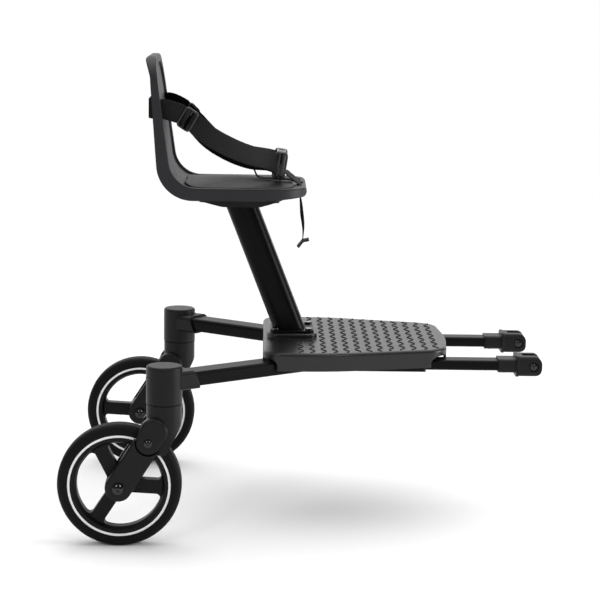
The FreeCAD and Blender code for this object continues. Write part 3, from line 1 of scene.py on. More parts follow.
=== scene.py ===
"""Looks of a buggy board with a seat: materials, caps, grip ribs, pad, webbing, floor, light and camera."""

import bmesh
import bpy
import numpy as np
from mathutils import Matrix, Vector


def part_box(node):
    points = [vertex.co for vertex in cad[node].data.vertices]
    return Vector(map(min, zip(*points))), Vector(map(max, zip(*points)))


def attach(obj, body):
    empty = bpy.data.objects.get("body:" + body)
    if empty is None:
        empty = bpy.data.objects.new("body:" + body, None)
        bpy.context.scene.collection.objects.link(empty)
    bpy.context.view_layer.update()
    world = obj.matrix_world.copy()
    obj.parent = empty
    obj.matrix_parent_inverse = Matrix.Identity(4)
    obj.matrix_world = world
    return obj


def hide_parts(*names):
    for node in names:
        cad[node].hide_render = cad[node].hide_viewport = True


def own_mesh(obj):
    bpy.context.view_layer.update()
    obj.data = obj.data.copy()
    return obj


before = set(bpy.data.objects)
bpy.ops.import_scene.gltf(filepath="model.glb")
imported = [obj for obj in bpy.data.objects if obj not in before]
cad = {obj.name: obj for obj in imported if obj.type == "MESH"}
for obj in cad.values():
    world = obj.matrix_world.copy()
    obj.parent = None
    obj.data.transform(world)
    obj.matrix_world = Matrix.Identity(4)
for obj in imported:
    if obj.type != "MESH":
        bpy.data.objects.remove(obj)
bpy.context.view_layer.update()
sides = ("left", "right")


# Frame tubes. Two slim black rails run from the casters under the deck to the hitch, and a thinner
# pair slides inside them. They are drawn aluminium, anodised black, clamped with screws. A steel
# plate and a bar are riveted across them.
def colour(code):
    """Linear colour of an sRGB hex code."""
    value = np.array([int(code[i:i + 2], 16) for i in (1, 3, 5)]) / 255
    linear = np.where(value <= 0.04045, value / 12.92, ((value + 0.055) / 1.055) ** 2.4)
    return (*linear, 1.0)


def add(tree, kind, sockets, **settings):
    """Adds a node; a socket is given a number, a colour, or another node's output to link."""
    node = tree.nodes.new("ShaderNode" + kind)
    for name, value in settings.items():
        setattr(node, name, value)
    for name, value in sockets.items():
        if isinstance(value, bpy.types.NodeSocket):
            tree.links.new(value, node.inputs[name])
        else:
            node.inputs[name].default_value = value
    return node


def material(name, roughness, **constants):
    """A new material with its shader, and constants on the shader's own sockets."""
    made = bpy.data.materials.new(name)
    made.use_nodes = True
    surface = made.node_tree.nodes["Principled BSDF"]
    surface.inputs["Roughness"].default_value = roughness
    for socket, value in constants.items():
        surface.inputs[socket.replace("_", " ")].default_value = value
    return made, made.node_tree, surface


# Nearly all of a noise pattern lies between these values.
grain_span = (0.3, 0.7)
# The sockets of a mix node that take its two colours and give the mixed one.
mix_first = 6
mix_second = 7
mix_result = 2


def finish_surface(tree, surface, shades, cloud, grain, roughness, depth, edge=0.0):
    """Links a colour mask between two shades, grain as roughness and as bump, and softened edges. The mask is
    soft clouds, or for webbing painted shade in the grooves between its ribs.

    The bump's depth and the edge's radius are in metres. The edge only turns the light at a corner.
    """
    shade = add(tree, "Mix", {0: cloud, mix_first: colour(shades[0]), mix_second: colour(shades[1])},
                data_type="RGBA")
    tree.links.new(shade.outputs[mix_result], surface.inputs["Base Color"])
    gloss = add(tree, "MapRange", {"Value": grain, "From Min": grain_span[0], "From Max": grain_span[1],
                                   "To Min": roughness[0], "To Max": roughness[1]})
    tree.links.new(gloss.outputs["Result"], surface.inputs["Roughness"])
    bump = add(tree, "Bump", {"Height": grain, "Distance": depth})
    if edge > 0:
        soft_edge = add(tree, "Bevel", {"Radius": edge}, samples=6)
        tree.links.new(soft_edge.outputs["Normal"], bump.inputs["Normal"])
    tree.links.new(bump.outputs["Normal"], surface.inputs["Normal"])


def moulded(name, shades, roughness, grain_mm, depth_mm, edge_mm=0.0, **constants):
    """Moulded plastic, rubber or small metal: soft colour clouds, an eroded grain, and edges of a radius.

    All sizes are in millimetres. The finest grains are drawn coarser than real to show.
    """
    cloud_mm = 40.0
    made, tree, surface = material(name, roughness[0], **constants)
    place = add(tree, "TexCoord", {}).outputs["Object"]
    cloud = add(tree, "TexNoise", {"Vector": place, "Scale": 1000 / cloud_mm, "Detail": 3.0})
    grain = add(tree, "TexNoise", {"Vector": place, "Scale": 1000 / grain_mm, "Detail": 2.0})
    finish_surface(tree, surface, shades, cloud.outputs["Fac"], grain.outputs["Fac"], roughness,
                   depth_mm / 1000, edge_mm / 1000)
    return made


def drawn(name, shades, roughness, along, depth_mm, **constants):
    """Drawn or rolled metal: fine lines stretched along one axis of the part, with soft colour clouds."""
    line_wide_mm = 0.7
    line_long_mm = 60.0
    cloud_mm = 50.0
    made, tree, surface = material(name, roughness[0], **constants)
    place = add(tree, "TexCoord", {}).outputs["Object"]
    stretch = [1000 / line_wide_mm] * 3
    stretch["XYZ".index(along)] = 1000 / line_long_mm
    lined = add(tree, "Mapping", {"Vector": place, "Scale": stretch})
    lines = add(tree, "TexNoise", {"Vector": lined.outputs["Vector"], "Scale": 1.0, "Detail": 2.0})
    cloud = add(tree, "TexNoise", {"Vector": place, "Scale": 1000 / cloud_mm, "Detail": 2.0})
    finish_surface(tree, surface, shades, cloud.outputs["Fac"], lines.outputs["Fac"], roughness,
                   depth_mm / 1000)
    return made


def dress(made, *names):
    """Gives a material to CAD nodes; a name that ends in an underscore stands for both sides."""
    for name in names:
        for node in ([name + side for side in sides] if name.endswith("_") else [name]):
            cad[node].data.materials.clear()
            cad[node].data.materials.append(made)


# Satin black with faint draw lines, so that the top faces catch a pale band of the light behind.
anodised = drawn("black_anodised_aluminium", ("#060607", "#0a0a0b"), roughness=(0.3, 0.4), along="X",
                 depth_mm=0.01, Specular_IOR_Level=0.08)
dress(anodised, "outer_tube_", "hitch_tube_")
# Flat black sheet with a slightly coarser roll grain, mostly hidden under the deck.
rolled = drawn("black_coated_steel_sheet", ("#0f0f10", "#161618"), roughness=(0.38, 0.52), along="Y",
               depth_mm=0.03, Specular_IOR_Level=0.25)
dress(rolled, "cross_plate", "cross_bar")
# Blackened steel: dark mirror glints on screw heads, with a dull bloom in patches.
blackened = moulded("blackened_steel", ("#1a1a1c", "#29292c"), roughness=(0.14, 0.26), grain_mm=2.0,
                    depth_mm=0.01, edge_mm=0.8, Metallic=1.0)
dress(blackened, "hitch_bolt_", "clevis_screw_", "pivot_screws_", "axle_", "clamp_screws", "tube_rivets",
      "deck_screws", "seat_bracket_screws")
# Slippery grey-black acetal: the guides, which show only at their rims, and the release buttons.
acetal = moulded("black_acetal", ("#101012", "#171719"), roughness=(0.3, 0.42), grain_mm=1.6,
                 depth_mm=0.02, Specular_IOR_Level=0.3)
dress(acetal, "guide_bushes", "swivel_bushes", "release_button_")


# Hitch ends, casters and seat bracket. Heavy mouldings of glass-filled nylon, screwed to the tubes and
# to each other. The casters turn on zinc-plated stems, and their wheels on steel bearings.
# Soft charcoal with a fine eroded grain and broad, blurred highlights.
nylon = moulded("glass_filled_nylon", ("#09090c", "#0f0e12"), roughness=(0.34, 0.48), grain_mm=1.5,
                depth_mm=0.03, edge_mm=1.2, Specular_IOR_Level=0.2)
dress(nylon, "hitch_clevis_", "caster_housing_", "knuckle_", "fork_", "seat_bracket")
# Zinc on turned steel, the only bright metal.
zinc = moulded("zinc_plated_steel", ("#a9abae", "#c4c6c9"), roughness=(0.2, 0.32), grain_mm=1.5,
               depth_mm=0.01, Metallic=1.0)
dress(zinc, "swivel_stem_", "wheel_bearings_")


# Suspension buffers. A short roll of moulded rubber lies across each knuckle. The fork's bridge comes
# down on it from behind and above and flattens it.
def grid(name, points, body, made, loop=False, caps=False, uv=None):
    """A smooth tube of quads through rings points[i, j], with its faces turned outwards.

    Loop joins the last ring to the first, and caps close both ends.
    """
    rows, columns = points.shape[:2]
    number = np.arange(rows * columns).reshape(rows, columns)
    number = np.concatenate([number, number[:, :1]], axis=1)
    if loop:
        number = np.concatenate([number, number[:1]])
    quads = np.stack([number[:-1, :-1], number[:-1, 1:], number[1:, 1:], number[1:, :-1]], axis=-1)
    faces = quads.reshape(-1, 4).tolist()
    if caps:
        faces += [number[0, :columns][::-1].tolist(), number[-1, :columns].tolist()]
    mesh = bpy.data.meshes.new(name)
    mesh.from_pydata(points.reshape(-1, 3), [], faces)
    shell = bmesh.new()
    shell.from_mesh(mesh)
    bmesh.ops.recalc_face_normals(shell, faces=shell.faces)
    shell.to_mesh(mesh)
    shell.free()
    mesh.shade_smooth()
    if uv is not None:
        corner = np.empty(len(mesh.loops), dtype=np.int32)
        mesh.loops.foreach_get("vertex_index", corner)
        layer = mesh.uv_layers.new(name="cloth")
        layer.data.foreach_set("uv", uv.reshape(-1, 2)[corner].ravel())
    mesh.materials.append(made)
    piece = bpy.data.objects.new(name, mesh)
    bpy.context.scene.collection.objects.link(piece)
    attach(piece, body)
    return piece


def rubber_roll(low, high, edge_r):
    """Rings of a cylinder across the part that fills a box, drawn in at its ends by a quarter circle."""
    radius = (high.z - low.z) / 2
    turn = np.linspace(0, 2 * np.pi, 32, endpoint=False)
    over = np.linspace(0, np.pi / 2, 5)
    inset = edge_r * (1 - np.sin(over))
    y = np.concatenate([low.y + inset[::-1], high.y - inset])
    ring_r = radius - edge_r * (1 - np.cos(over))
    ring_r = np.concatenate([ring_r[::-1], ring_r])[:, None]
    return np.stack(np.broadcast_arrays((low.x + high.x) / 2 + ring_r * np.cos(turn), y[:, None],
                                        (low.z + high.z) / 2 + ring_r * np.sin(turn)), axis=-1)


# Dull soft rubber with a pored skin.
spring_rubber = moulded("spring_rubber", ("#141415", "#1d1d1e"), roughness=(0.62, 0.8), grain_mm=1.8,
                        depth_mm=0.06)
roll_edge_r = 0.0008
for side in sides:
    low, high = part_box("suspension_buffer_" + side)
    roll = grid("spring_roll_" + side, rubber_roll(low, high, roll_edge_r), "caster_" + side, spring_rubber,
                caps=True)
    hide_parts("suspension_buffer_" + side)
    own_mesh(roll)


# Screw caps. Glossy black acetal domes with a hexagon socket close both ends of the axles, the fork
# pivots and the hitch bolts. They are pressed on the screws.
def socket_dome(middle, outwards, radius, height, socket_r, socket_depth):
    """Rings of a dome about the Y axis: a parabola outwards, with a six-sided recess in its middle.

    The rings run out over the recess's floor, up its wall, over its lip, down the dome and in under the
    flat foot. Each ring's radius is a share of the socket's radius.
    """
    turn = np.linspace(0, 2 * np.pi, 48, endpoint=False)
    hexagon = np.cos(np.pi / 6) / np.cos((turn % (np.pi / 3)) - np.pi / 6)
    rim = radius / socket_r
    recess_floor = [0.02, 0.7, 1.0]
    lip = [1.0, 1.15]
    dome = np.linspace(1.4, rim, 8)
    flat_foot = [0.96 * rim, 0.02]
    share = np.concatenate([recess_floor, lip, dome, flat_foot])
    ring_r = share[:, None] * socket_r * np.ones(len(turn))
    ring_r[:len(recess_floor) + len(lip)] *= hexagon
    rise = height * (1 - (share * socket_r / radius) ** 2)
    rise[:len(recess_floor)] -= socket_depth
    rise[-len(flat_foot):] = 0.0
    return np.stack(np.broadcast_arrays(middle[0] + ring_r * np.cos(turn),
                                        middle[1] + outwards * rise[:, None],
                                        middle[2] + ring_r * np.sin(turn)), axis=-1)


# Deep gloss black that mirrors the lamps as small sharp points.
cap_gloss = moulded("gloss_black_acetal", ("#060607", "#0b0b0c"), roughness=(0.06, 0.12), grain_mm=2.0,
                    depth_mm=0.004)
# The body that each kind of cap rides on, its radius, its height and its socket's radius.
cap_sizes = {"axle": ("swing_fork_", 0.0072, 0.0024, 0.0024),
             "pivot_screws": ("caster_", 0.0052, 0.0018, 0.0018),
             "hitch_bolt": ("hitch_arm_", 0.0046, 0.0014, 0.0016)}
socket_depth_share = 0.8
for name, (body, cap_r, cap_h, cap_socket_r) in cap_sizes.items():
    for side in sides:
        low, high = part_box(f"{name}_{side}")
        for end, (seat_y, outwards) in (("near", (low.y, -1)), ("far", (high.y, 1))):
            dome = socket_dome(((low.x + high.x) / 2, seat_y, (low.z + high.z) / 2), outwards, cap_r, cap_h,
                               cap_socket_r, cap_h * socket_depth_share)
            grid(f"cap_{name}_{side}_{end}", dome, body + side, cap_gloss, caps=True)


# Wheels. Three-spoke rims of black polypropylene with a thin white trim ring pressed in, and a
# closed-cell foam tyre stretched over each rim.
# Satin black with softly lit spoke edges.
rim_plastic = moulded("black_polypropylene", ("#08080a", "#0d0d0f"), roughness=(0.32, 0.46), grain_mm=1.8,
                      depth_mm=0.02, edge_mm=0.6, Specular_IOR_Level=0.15)
dress(rim_plastic, "wheel_rim_")
# Clean white trim, a little glossy.
white_trim = moulded("white_polypropylene", ("#ececec", "#f8f8f8"), roughness=(0.3, 0.4), grain_mm=2.0,
                     depth_mm=0.02)
dress(white_trim, "wheel_rings_")
# Matt black with a pored skin and greyer scuffed patches.
foam_tyre = moulded("closed_cell_tyre_foam", ("#040405", "#0a0a0b"), roughness=(0.5, 0.7), grain_mm=1.4,
                    depth_mm=0.05, Specular_IOR_Level=0.14)
dress(foam_tyre, "tyre_")


# Deck. One thick ribbed moulding of charcoal ABS, screwed to the cross plate. Thin soft ribs in smooth
# waves are moulded across it for grip.
# Smooth dark plastic that mirrors the light behind it, so its top is grey and its side nearly black.
abs_plastic = moulded("charcoal_abs", ("#0d0d0f", "#131315"), roughness=(0.28, 0.38), grain_mm=2.2,
                      depth_mm=0.01, edge_mm=1.4, Specular_IOR_Level=0.42)
dress(abs_plastic, "deck")
deck_top_z = 0.226
deck_half_w = 0.134
deck_taper_x = 0.0345
deck_taper = 0.27
front_corner = (0.147, 0.0684)
front_corner_r = 0.034
grip_rows = 13
grip_pitch = 0.0144
grip_first_x = -0.0065
grip_swing = 0.0031
grip_wave = 0.029
grip_width = 0.0018
grip_top_share = 0.32
grip_height = 0.0008
grip_step = 0.0008
grip_margin = 0.007
plinth_half = 0.042
plinth_front_x = 0.0185


def rib_reach(x):
    """Half the length of a rib: up to the deck's drawn-in side or its front corner's arc, less the margin."""
    drawn_in = deck_taper * max(0.0, x - deck_taper_x)
    side_line = deck_half_w - drawn_in - grip_margin * np.hypot(1.0, deck_taper)
    ahead = x - front_corner[0]
    if ahead < 0:
        return side_line
    return min(side_line, front_corner[1] + np.sqrt((front_corner_r - grip_margin) ** 2 - ahead ** 2))


def wave_rib(x, y_from, y_to):
    """Rings of a rib along a cosine wave across the deck, with a flat top and sloped sides."""
    count = int((y_to - y_from) / grip_step)
    y = np.linspace(y_from, y_to, count)
    middle = x + grip_swing * np.cos(2 * np.pi * y / grip_wave)
    across = np.array([-0.5, -grip_top_share, grip_top_share, 0.5]) * grip_width
    height = np.array([0.0, 1.0, 1.0, 0.0]) * grip_height
    return np.stack(np.broadcast_arrays(middle[:, None] + across, y[:, None], deck_top_z + height), axis=-1)


# Dark matt ribs that stay dark while the plastic round them mirrors the light.
grip_rubber = moulded("grip_rubber", ("#1a1a1b", "#232325"), roughness=(0.6, 0.75), grain_mm=1.5,
                      depth_mm=0.02, Specular_IOR_Level=0.3)
for row in range(grip_rows):
    rib_x = grip_first_x + grip_pitch * row
    edge = rib_reach(rib_x)
    runs = [(-edge, edge)]
    if rib_x < plinth_front_x + grip_swing:
        runs = [(-edge, -plinth_half), (plinth_half, edge)]
    for part, (start, end) in enumerate(runs):
        rib = grid(f"grip_wave_{row}_{part}", wave_rib(rib_x, start, end), "frame", grip_rubber,
                   caps=True)
        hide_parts("deck_grip")


# Seat post. A broad oval aluminium tube that leans back, powder coated, in a cast foot that is bolted
# to the deck's plinth.
# Even black coat that stays dark on its side and pale along its front corner.
powder = moulded("black_powder_coat", ("#060607", "#0a0a0b"), roughness=(0.26, 0.34), grain_mm=2.6,
                 depth_mm=0.006, Specular_IOR_Level=0.07)
dress(powder, "seat_post", "post_foot")
# Black chrome of the foot's bolts: a grey metal with sharp bright glints.
black_chrome = moulded("black_chromed_steel", ("#47474a", "#5b5b5f"), roughness=(0.08, 0.16), grain_mm=2.0,
                       depth_mm=0.005, edge_mm=0.8, Metallic=1.0)
dress(black_chrome, "post_foot_bolts")


# Seat. A thin-walled polypropylene shell with a deep rim, dished back and flat pan, moulded in one
# piece and screwed to the bracket on the post.
# Charcoal with a fine matt grain, lighter where the rim turns over.
shell_plastic = moulded("charcoal_polypropylene", ("#17171b", "#1d1c22"), roughness=(0.42, 0.54),
                        grain_mm=1.6, depth_mm=0.03, edge_mm=3.5, Specular_IOR_Level=0.3)
dress(shell_plastic, "seat_shell")


# Seat pad. A moulded foam inlay lying in the pan's dish, with a low crown and sides that draw in
# between its round corners.
pad_rear_x = -0.157
pad_front_x = -0.018
pad_half_w = 0.08
pad_foot_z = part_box("seat_pad")[0].z
pad_edge_h = 0.0034
pad_edge_r = 0.0022
pad_crown = 0.003
pad_draw = 0.002
pad_bend_x = -0.140
pad_bend_r = 0.0365


def pad_surface():
    """Rings from the middle of the top to the middle of the foot; each ring is the plan's outline, shrunk.

    The outline is a rounded rectangle (a superellipse of power 5) whose sides bow inwards by a cosine, the
    top rises by a parabola to the crown, the edge turns over in a quarter circle, and the rear follows the
    arc of the shell's bend.
    """
    turn = np.linspace(0, 2 * np.pi, 144, endpoint=False)
    unit = (np.abs(np.cos(turn)) ** 5 + np.abs(np.sin(turn)) ** 5) ** (-1 / 5)
    draw = 1 - pad_draw / pad_half_w * np.cos(4 * turn).clip(0) ** 2
    plan_x = unit * np.cos(turn) * draw * (pad_front_x - pad_rear_x) / 2
    plan_y = unit * np.sin(turn) * draw * pad_half_w
    over = np.linspace(0, np.pi / 2, 9)
    top = np.linspace(0.02, 0.95, 14)
    edge = 1 - (1 - np.sin(over)) * pad_edge_r / pad_half_w
    foot = [0.985, 0.5, 0.02]
    shrink = np.concatenate([top, edge, foot])
    rise = pad_edge_h + pad_crown * (1 - shrink ** 2)
    rise[len(top):-len(foot)] -= (1 - np.cos(over)) * pad_edge_r
    rise[-len(foot):] = 0.0
    x = (pad_front_x + pad_rear_x) / 2 + shrink[:, None] * plan_x
    bend = pad_bend_r - np.sqrt(pad_bend_r ** 2 - (pad_bend_x - x).clip(0) ** 2)
    return np.stack([x, shrink[:, None] * plan_y, pad_foot_z + rise[:, None] + bend], axis=-1)


# Soft dark foam with a pored skin.
pad_foam = moulded("moulded_foam_skin", ("#0e0e10", "#151517"), roughness=(0.46, 0.6), grain_mm=1.6,
                   depth_mm=0.05, Specular_IOR_Level=0.3)
pad = grid("seat_pad_foam", pad_surface(), "frame", pad_foam, caps=True)
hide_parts("seat_pad")


# Waist belt. Black woven polyester webbing through the back's slots, threaded over the slides' middle
# bars and doubled from there to the buckle. The return layer hangs a little lower than the face layer.
web_w = 0.025
web_t = 0.0015
web_stiff = 0.012


def smooth_line(stations, count):
    """Evenly spaced points on the Catmull-Rom curve through stations."""
    stations = np.asarray(stations, float)
    ends = np.vstack([2 * stations[0] - stations[1], stations, 2 * stations[-1] - stations[-2]])
    t = np.linspace(0, 1, 40, endpoint=False)[:, None]
    a, b, c, d = ends[:-3, None], ends[1:-2, None], ends[2:-1, None], ends[3:, None]
    fine = 0.5 * (2 * b + (c - a) * t + (2 * a - 5 * b + 4 * c - d) * t ** 2
                  + (3 * b - a - 3 * c + d) * t ** 3)
    fine = np.vstack([fine.reshape(-1, 3), stations[-1:]])
    run = np.concatenate([[0], np.cumsum(np.linalg.norm(np.diff(fine, axis=0), axis=1))])
    even = np.linspace(0, run[-1], count)
    return np.stack([np.interp(even, run, fine[:, i]) for i in range(3)], axis=1)


def webbing(line, width, thickness, upright, twist):
    """Rings of a flat band along a line, and its cloth coordinates: metres along and across.

    The section is a superellipse of power 8. An upright band stands on edge, square to its mean run over
    twice web_stiff; otherwise its width lies across the part. Twist turns it about its line, in radians.
    """
    along = np.gradient(line, axis=0)
    along /= np.linalg.norm(along, axis=1)[:, None]
    run = np.concatenate([[0], np.cumsum(np.linalg.norm(np.diff(line, axis=0), axis=1))])
    if upright:
        span = int(web_stiff / run[-1] * len(line))
        even = np.pad(along, ((span, span), (0, 0)), mode="edge")
        heading = np.lib.stride_tricks.sliding_window_view(even, 2 * span + 1, axis=0).mean(axis=-1)
        face = np.stack([-heading[:, 1], heading[:, 0], np.zeros(len(line))], axis=1)
        face /= np.linalg.norm(face, axis=1)[:, None]
        wide = np.cross(heading, face)
        wide *= (np.sign(wide[:, 2]) / np.linalg.norm(wide, axis=1))[:, None]
    else:
        wide = np.broadcast_to([0.0, 1.0, 0.0], line.shape)
        face = np.cross(along, wide)
    angle = np.broadcast_to(twist, len(line))[:, None]
    wide, face = wide * np.cos(angle) + face * np.sin(angle), face * np.cos(angle) - wide * np.sin(angle)
    turn = np.linspace(0, 2 * np.pi, 28, endpoint=False)
    unit = (np.abs(np.cos(turn)) ** 8 + np.abs(np.sin(turn)) ** 8) ** (-1 / 8)
    a = unit * np.cos(turn) * width / 2
    b = unit * np.sin(turn) * thickness / 2
    rings = line[:, None] + a[:, None] * wide[:, None] + b[:, None] * face[:, None]
    cloth = np.stack(np.broadcast_arrays(run[:, None], a[None, :]), axis=-1)
    return rings, cloth


def woven(name, shades, sheen, specular):
    """Webbing: a twill of slanted ribs that meet in the band's middle, drawn coarser than real to show, with
    painted shade in the grooves between them.

    The wave texture's diagonal bands repeat every 2 pi / 10 of its scaled coordinates.
    """
    rib_pitch = 0.00504
    rib_depth = 0.00012
    fuzz_width = 0.012
    made, tree, surface = material(name, roughness=0.8, Sheen_Weight=sheen, Sheen_Roughness=0.5,
                                   Specular_IOR_Level=specular)
    cloth = add(tree, "UVMap", {}, uv_map="cloth").outputs["UV"]
    apart = add(tree, "SeparateXYZ", {"Vector": cloth})
    fold = add(tree, "Math", {0: apart.outputs["Y"]}, operation="ABSOLUTE")
    slant = add(tree, "CombineXYZ", {"X": apart.outputs["X"], "Y": fold.outputs["Value"]})
    ribs = add(tree, "TexWave", {"Vector": slant.outputs["Vector"], "Scale": 2 * np.pi / 10 / rib_pitch,
                                 "Distortion": 0.4, "Detail": 1.0}, bands_direction="DIAGONAL")
    fuzz = add(tree, "TexNoise", {"Vector": cloth, "Scale": 1 / fuzz_width, "Detail": 4.0})
    # The colour follows the ribs: painted shade darkens the grooves, broken up by fuzz.
    groove_shade_and_fuzz = add(tree, "Math", {0: ribs.outputs["Fac"], 1: fuzz.outputs["Fac"]}, operation="MULTIPLY")
    finish_surface(tree, surface, shades, groove_shade_and_fuzz.outputs["Value"], ribs.outputs["Fac"], roughness=(0.7, 0.9),
                   depth=rib_depth)
    return made


# Dark grey ribs with a faint sheen, and painted shade that makes the grooves black.
web = woven("woven_polyester_webbing", ("#0d0d0e", "#151518"), sheen=0.08, specular=0.25)
# A darker, duller copy of the same webbing with painted shade, for the layers in shadow: the wraps and return
# layers, the far side's main layer, the band behind the back and the loose tail.
web_painted_shade = woven("woven_polyester_webbing_painted_shade", ("#020203", "#060607"), sheen=0.0, specular=0.03)
behind_x = -0.1845
slot_y = 0.076
slot_z = 0.524
buckle_x = -0.0355
buckle_z = 0.451
buckle_end_y = 0.0283
# Stations of the belt: the share of the way ahead from the slot to the buckle, the shares of the way out
# and up from the buckle to the slot, and how much lower the left side hangs.
belt_shares = np.array([
    (-0.114, 0.581, 1.0, 0.012), (-0.054, 0.969, 1.0, 0.012), (0.027, 1.021, 1.0, 0.012),
    (0.154, 1.168, 0.943, 0.096), (0.231, 1.231, 0.845, 0.17), (0.325, 1.258, 0.678, 0.24),
    (0.409, 1.235, 0.562, 0.247), (0.575, 1.069, 0.37, 0.219), (0.744, 0.704, 0.215, 0.151),
    (0.903, 0.182, 0.11, 0.068), (1.0, 0.0, 0.0, 0.0)])
behind_station = 1
slide_station = 4
slide_shift = {"right": (-0.0015, 0.0, 0.0), "left": (-0.007, -0.0015, 0.0068)}
# Distances along the slide and out of its face that the two layers pass through; the main layer's
# fourth point lies over the middle bar.
main_thread = ((-0.013, -0.0012), (-0.009, -0.0027), (-0.0045, -0.0004), (0.0, 0.0027), (0.0045, -0.0012),
               (0.0095, -0.0044))
bar_point = 3
face_thread = ((0.0035, 0.0006), (0.0095, -0.0027))
return_gap = 0.0021
return_sag = np.array([0.0040, 0.0058, 0.0052, 0.0022])
face_gap = 0.0006
behind_gap = 0.017
behind_y = (-0.056, -0.02, 0.02, 0.056)
slides = {}
for side, out in (("right", -1), ("left", 1)):
    ahead, wide, up, droop = belt_shares.T
    if side == "left":
        up = up - droop
    route = np.stack([behind_x + ahead * (buckle_x - behind_x),
                      out * (buckle_end_y + wide * (slot_y - buckle_end_y)),
                      buckle_z + up * (slot_z - buckle_z)], axis=1)
    to_slide = route[:slide_station - 1]
    to_buckle = route[slide_station + 2:]
    along = route[slide_station + 1] - (route[slide_station - 2] + route[slide_station - 1]) / 2
    along = along / np.linalg.norm(along)
    outward = np.array([-along[1], along[0], 0.0]) * out
    outward = outward / np.linalg.norm(outward)
    middle = route[slide_station] + slide_shift[side]
    slides[side] = (middle, along, np.cross(outward, along) * out, outward)
    threaded = middle + np.array(main_thread) @ np.stack([along, outward])
    main = np.vstack([to_slide, threaded, to_buckle])
    returning = slice(len(to_slide) + len(threaded), -1)
    main[returning, 1] -= out * return_gap
    main[returning, 2] -= return_sag
    face = np.vstack([middle + np.array(face_thread) @ np.stack([along, outward]), to_buckle])
    face[len(face_thread):, 1] += out * face_gap
    line = smooth_line(main, count=260)
    at_slot = np.argmin(np.linalg.norm(line - route[behind_station], axis=1))
    over_bar = np.argmin(np.linalg.norm(line - threaded[bar_point], axis=1))
    # The far side's main layer and the layers in shadow take the copy of the webbing with painted shade.
    layers = (("wrap", line[:at_slot + 1], web_painted_shade),
              ("main", line[at_slot:over_bar + 1], web if side == "right" else web_painted_shade),
              ("return", line[over_bar:], web_painted_shade),
              ("face", smooth_line(face, count=260), web))
    for layer, layer_line, cloth_made in layers:
        rings, cloth = webbing(layer_line, web_w, web_t, upright=True, twist=0.0)
        band = grid(f"belt_{layer}_{side}", rings, "frame", cloth_made, caps=True, uv=cloth)
        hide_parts("waist_belt")
behind_line = smooth_line([(behind_x - behind_gap, y, slot_z) for y in behind_y], count=80)
rings, cloth = webbing(behind_line, web_w, web_t, upright=True, twist=0.0)
# The band behind the back takes the copy of the webbing with painted shade.
band = grid("belt_behind_back", rings, "frame", web_painted_shade, caps=True, uv=cloth)
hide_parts("waist_belt")


# Slides and buckle. A three-bar slide on each side sets the belt's length, and a side-release buckle
# joins its ends, which turn back round a ladder of bars. All are injection moulded in acetal.
# Smooth hard black with fine pale edges.
buckle_plastic = moulded("black_acetal_buckle", ("#121214", "#1b1b1e"), roughness=(0.22, 0.34), grain_mm=1.8,
                         depth_mm=0.01, edge_mm=0.5)
dress(buckle_plastic, "buckle_socket", "buckle_tongue")
slide_len = 0.020
slide_h = 0.0285
slide_bar = 0.0028
slide_t = 0.0035


def slide_ring(middle, along, up, out, length, height):
    """Rings of a slide's frame: a superellipse of power 7 as the loop, another of power 4 as its section."""
    turn = np.linspace(0, 2 * np.pi, 96, endpoint=False)[:, None]
    unit = (np.abs(np.cos(turn)) ** 7 + np.abs(np.sin(turn)) ** 7) ** (-1 / 7)
    a = unit * np.cos(turn) * (length - slide_bar) / 2
    b = unit * np.sin(turn) * (height - slide_bar) / 2
    side_a = np.gradient(b, axis=0)
    side_b = -np.gradient(a, axis=0)
    size = np.hypot(side_a, side_b)
    around = np.linspace(0, 2 * np.pi, 16, endpoint=False)
    section = (np.cos(around) ** 4 + np.sin(around) ** 4) ** (-1 / 4)
    across = section * np.cos(around) * slide_bar / 2
    high = section * np.sin(around) * slide_t / 2
    a = a + side_a / size * across
    b = b + side_b / size * across
    return middle + a[..., None] * along + b[..., None] * up + (high + 0 * a)[..., None] * out


def moulded_ring(name, *place_and_size):
    """A slide's frame as a piece, closed on itself."""
    return grid(name, slide_ring(*place_and_size), "frame", buckle_plastic, loop=True)


def moulded_bar(name, middle, up, height):
    """A straight bar across a frame of that height: the webbing's section carried along a line."""
    line = middle + np.linspace(-0.5, 0.5, 12)[:, None] * (height - slide_bar) * up
    rings, _ = webbing(line, slide_bar, slide_t, upright=True, twist=0.0)
    return grid(name, rings, "frame", buckle_plastic, caps=True)


for side, (middle, along, up, outward) in slides.items():
    frame_ring = moulded_ring("slide_frame_" + side, middle, along, up, outward, slide_len, slide_h)
    bar = moulded_bar("slide_bar_" + side, middle, up, slide_h)
    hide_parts("tri_glides")
    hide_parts("tri_glides")
ladder_len = 0.0175
ladder_h = 0.0345
ladder_y = 0.0297
ladder_bars = (-0.0022, 0.0034)
buckle_lean = np.radians(8.7)
buckle_ahead = np.array([np.cos(buckle_lean), 0.0, -np.sin(buckle_lean)])
buckle_up = np.array([np.sin(buckle_lean), 0.0, np.cos(buckle_lean)])
buckle_out = np.array([0.0, -1.0, 0.0])
for side, out in (("right", -1), ("left", 1)):
    middle = np.array([buckle_x, out * ladder_y, buckle_z])
    moulded_ring("buckle_ladder_" + side, middle, buckle_ahead, buckle_up, buckle_out, ladder_len, ladder_h)
    for number, ahead in enumerate(ladder_bars):
        moulded_bar(f"buckle_rung_{side}_{number}", middle + ahead * buckle_ahead, buckle_up, ladder_h)


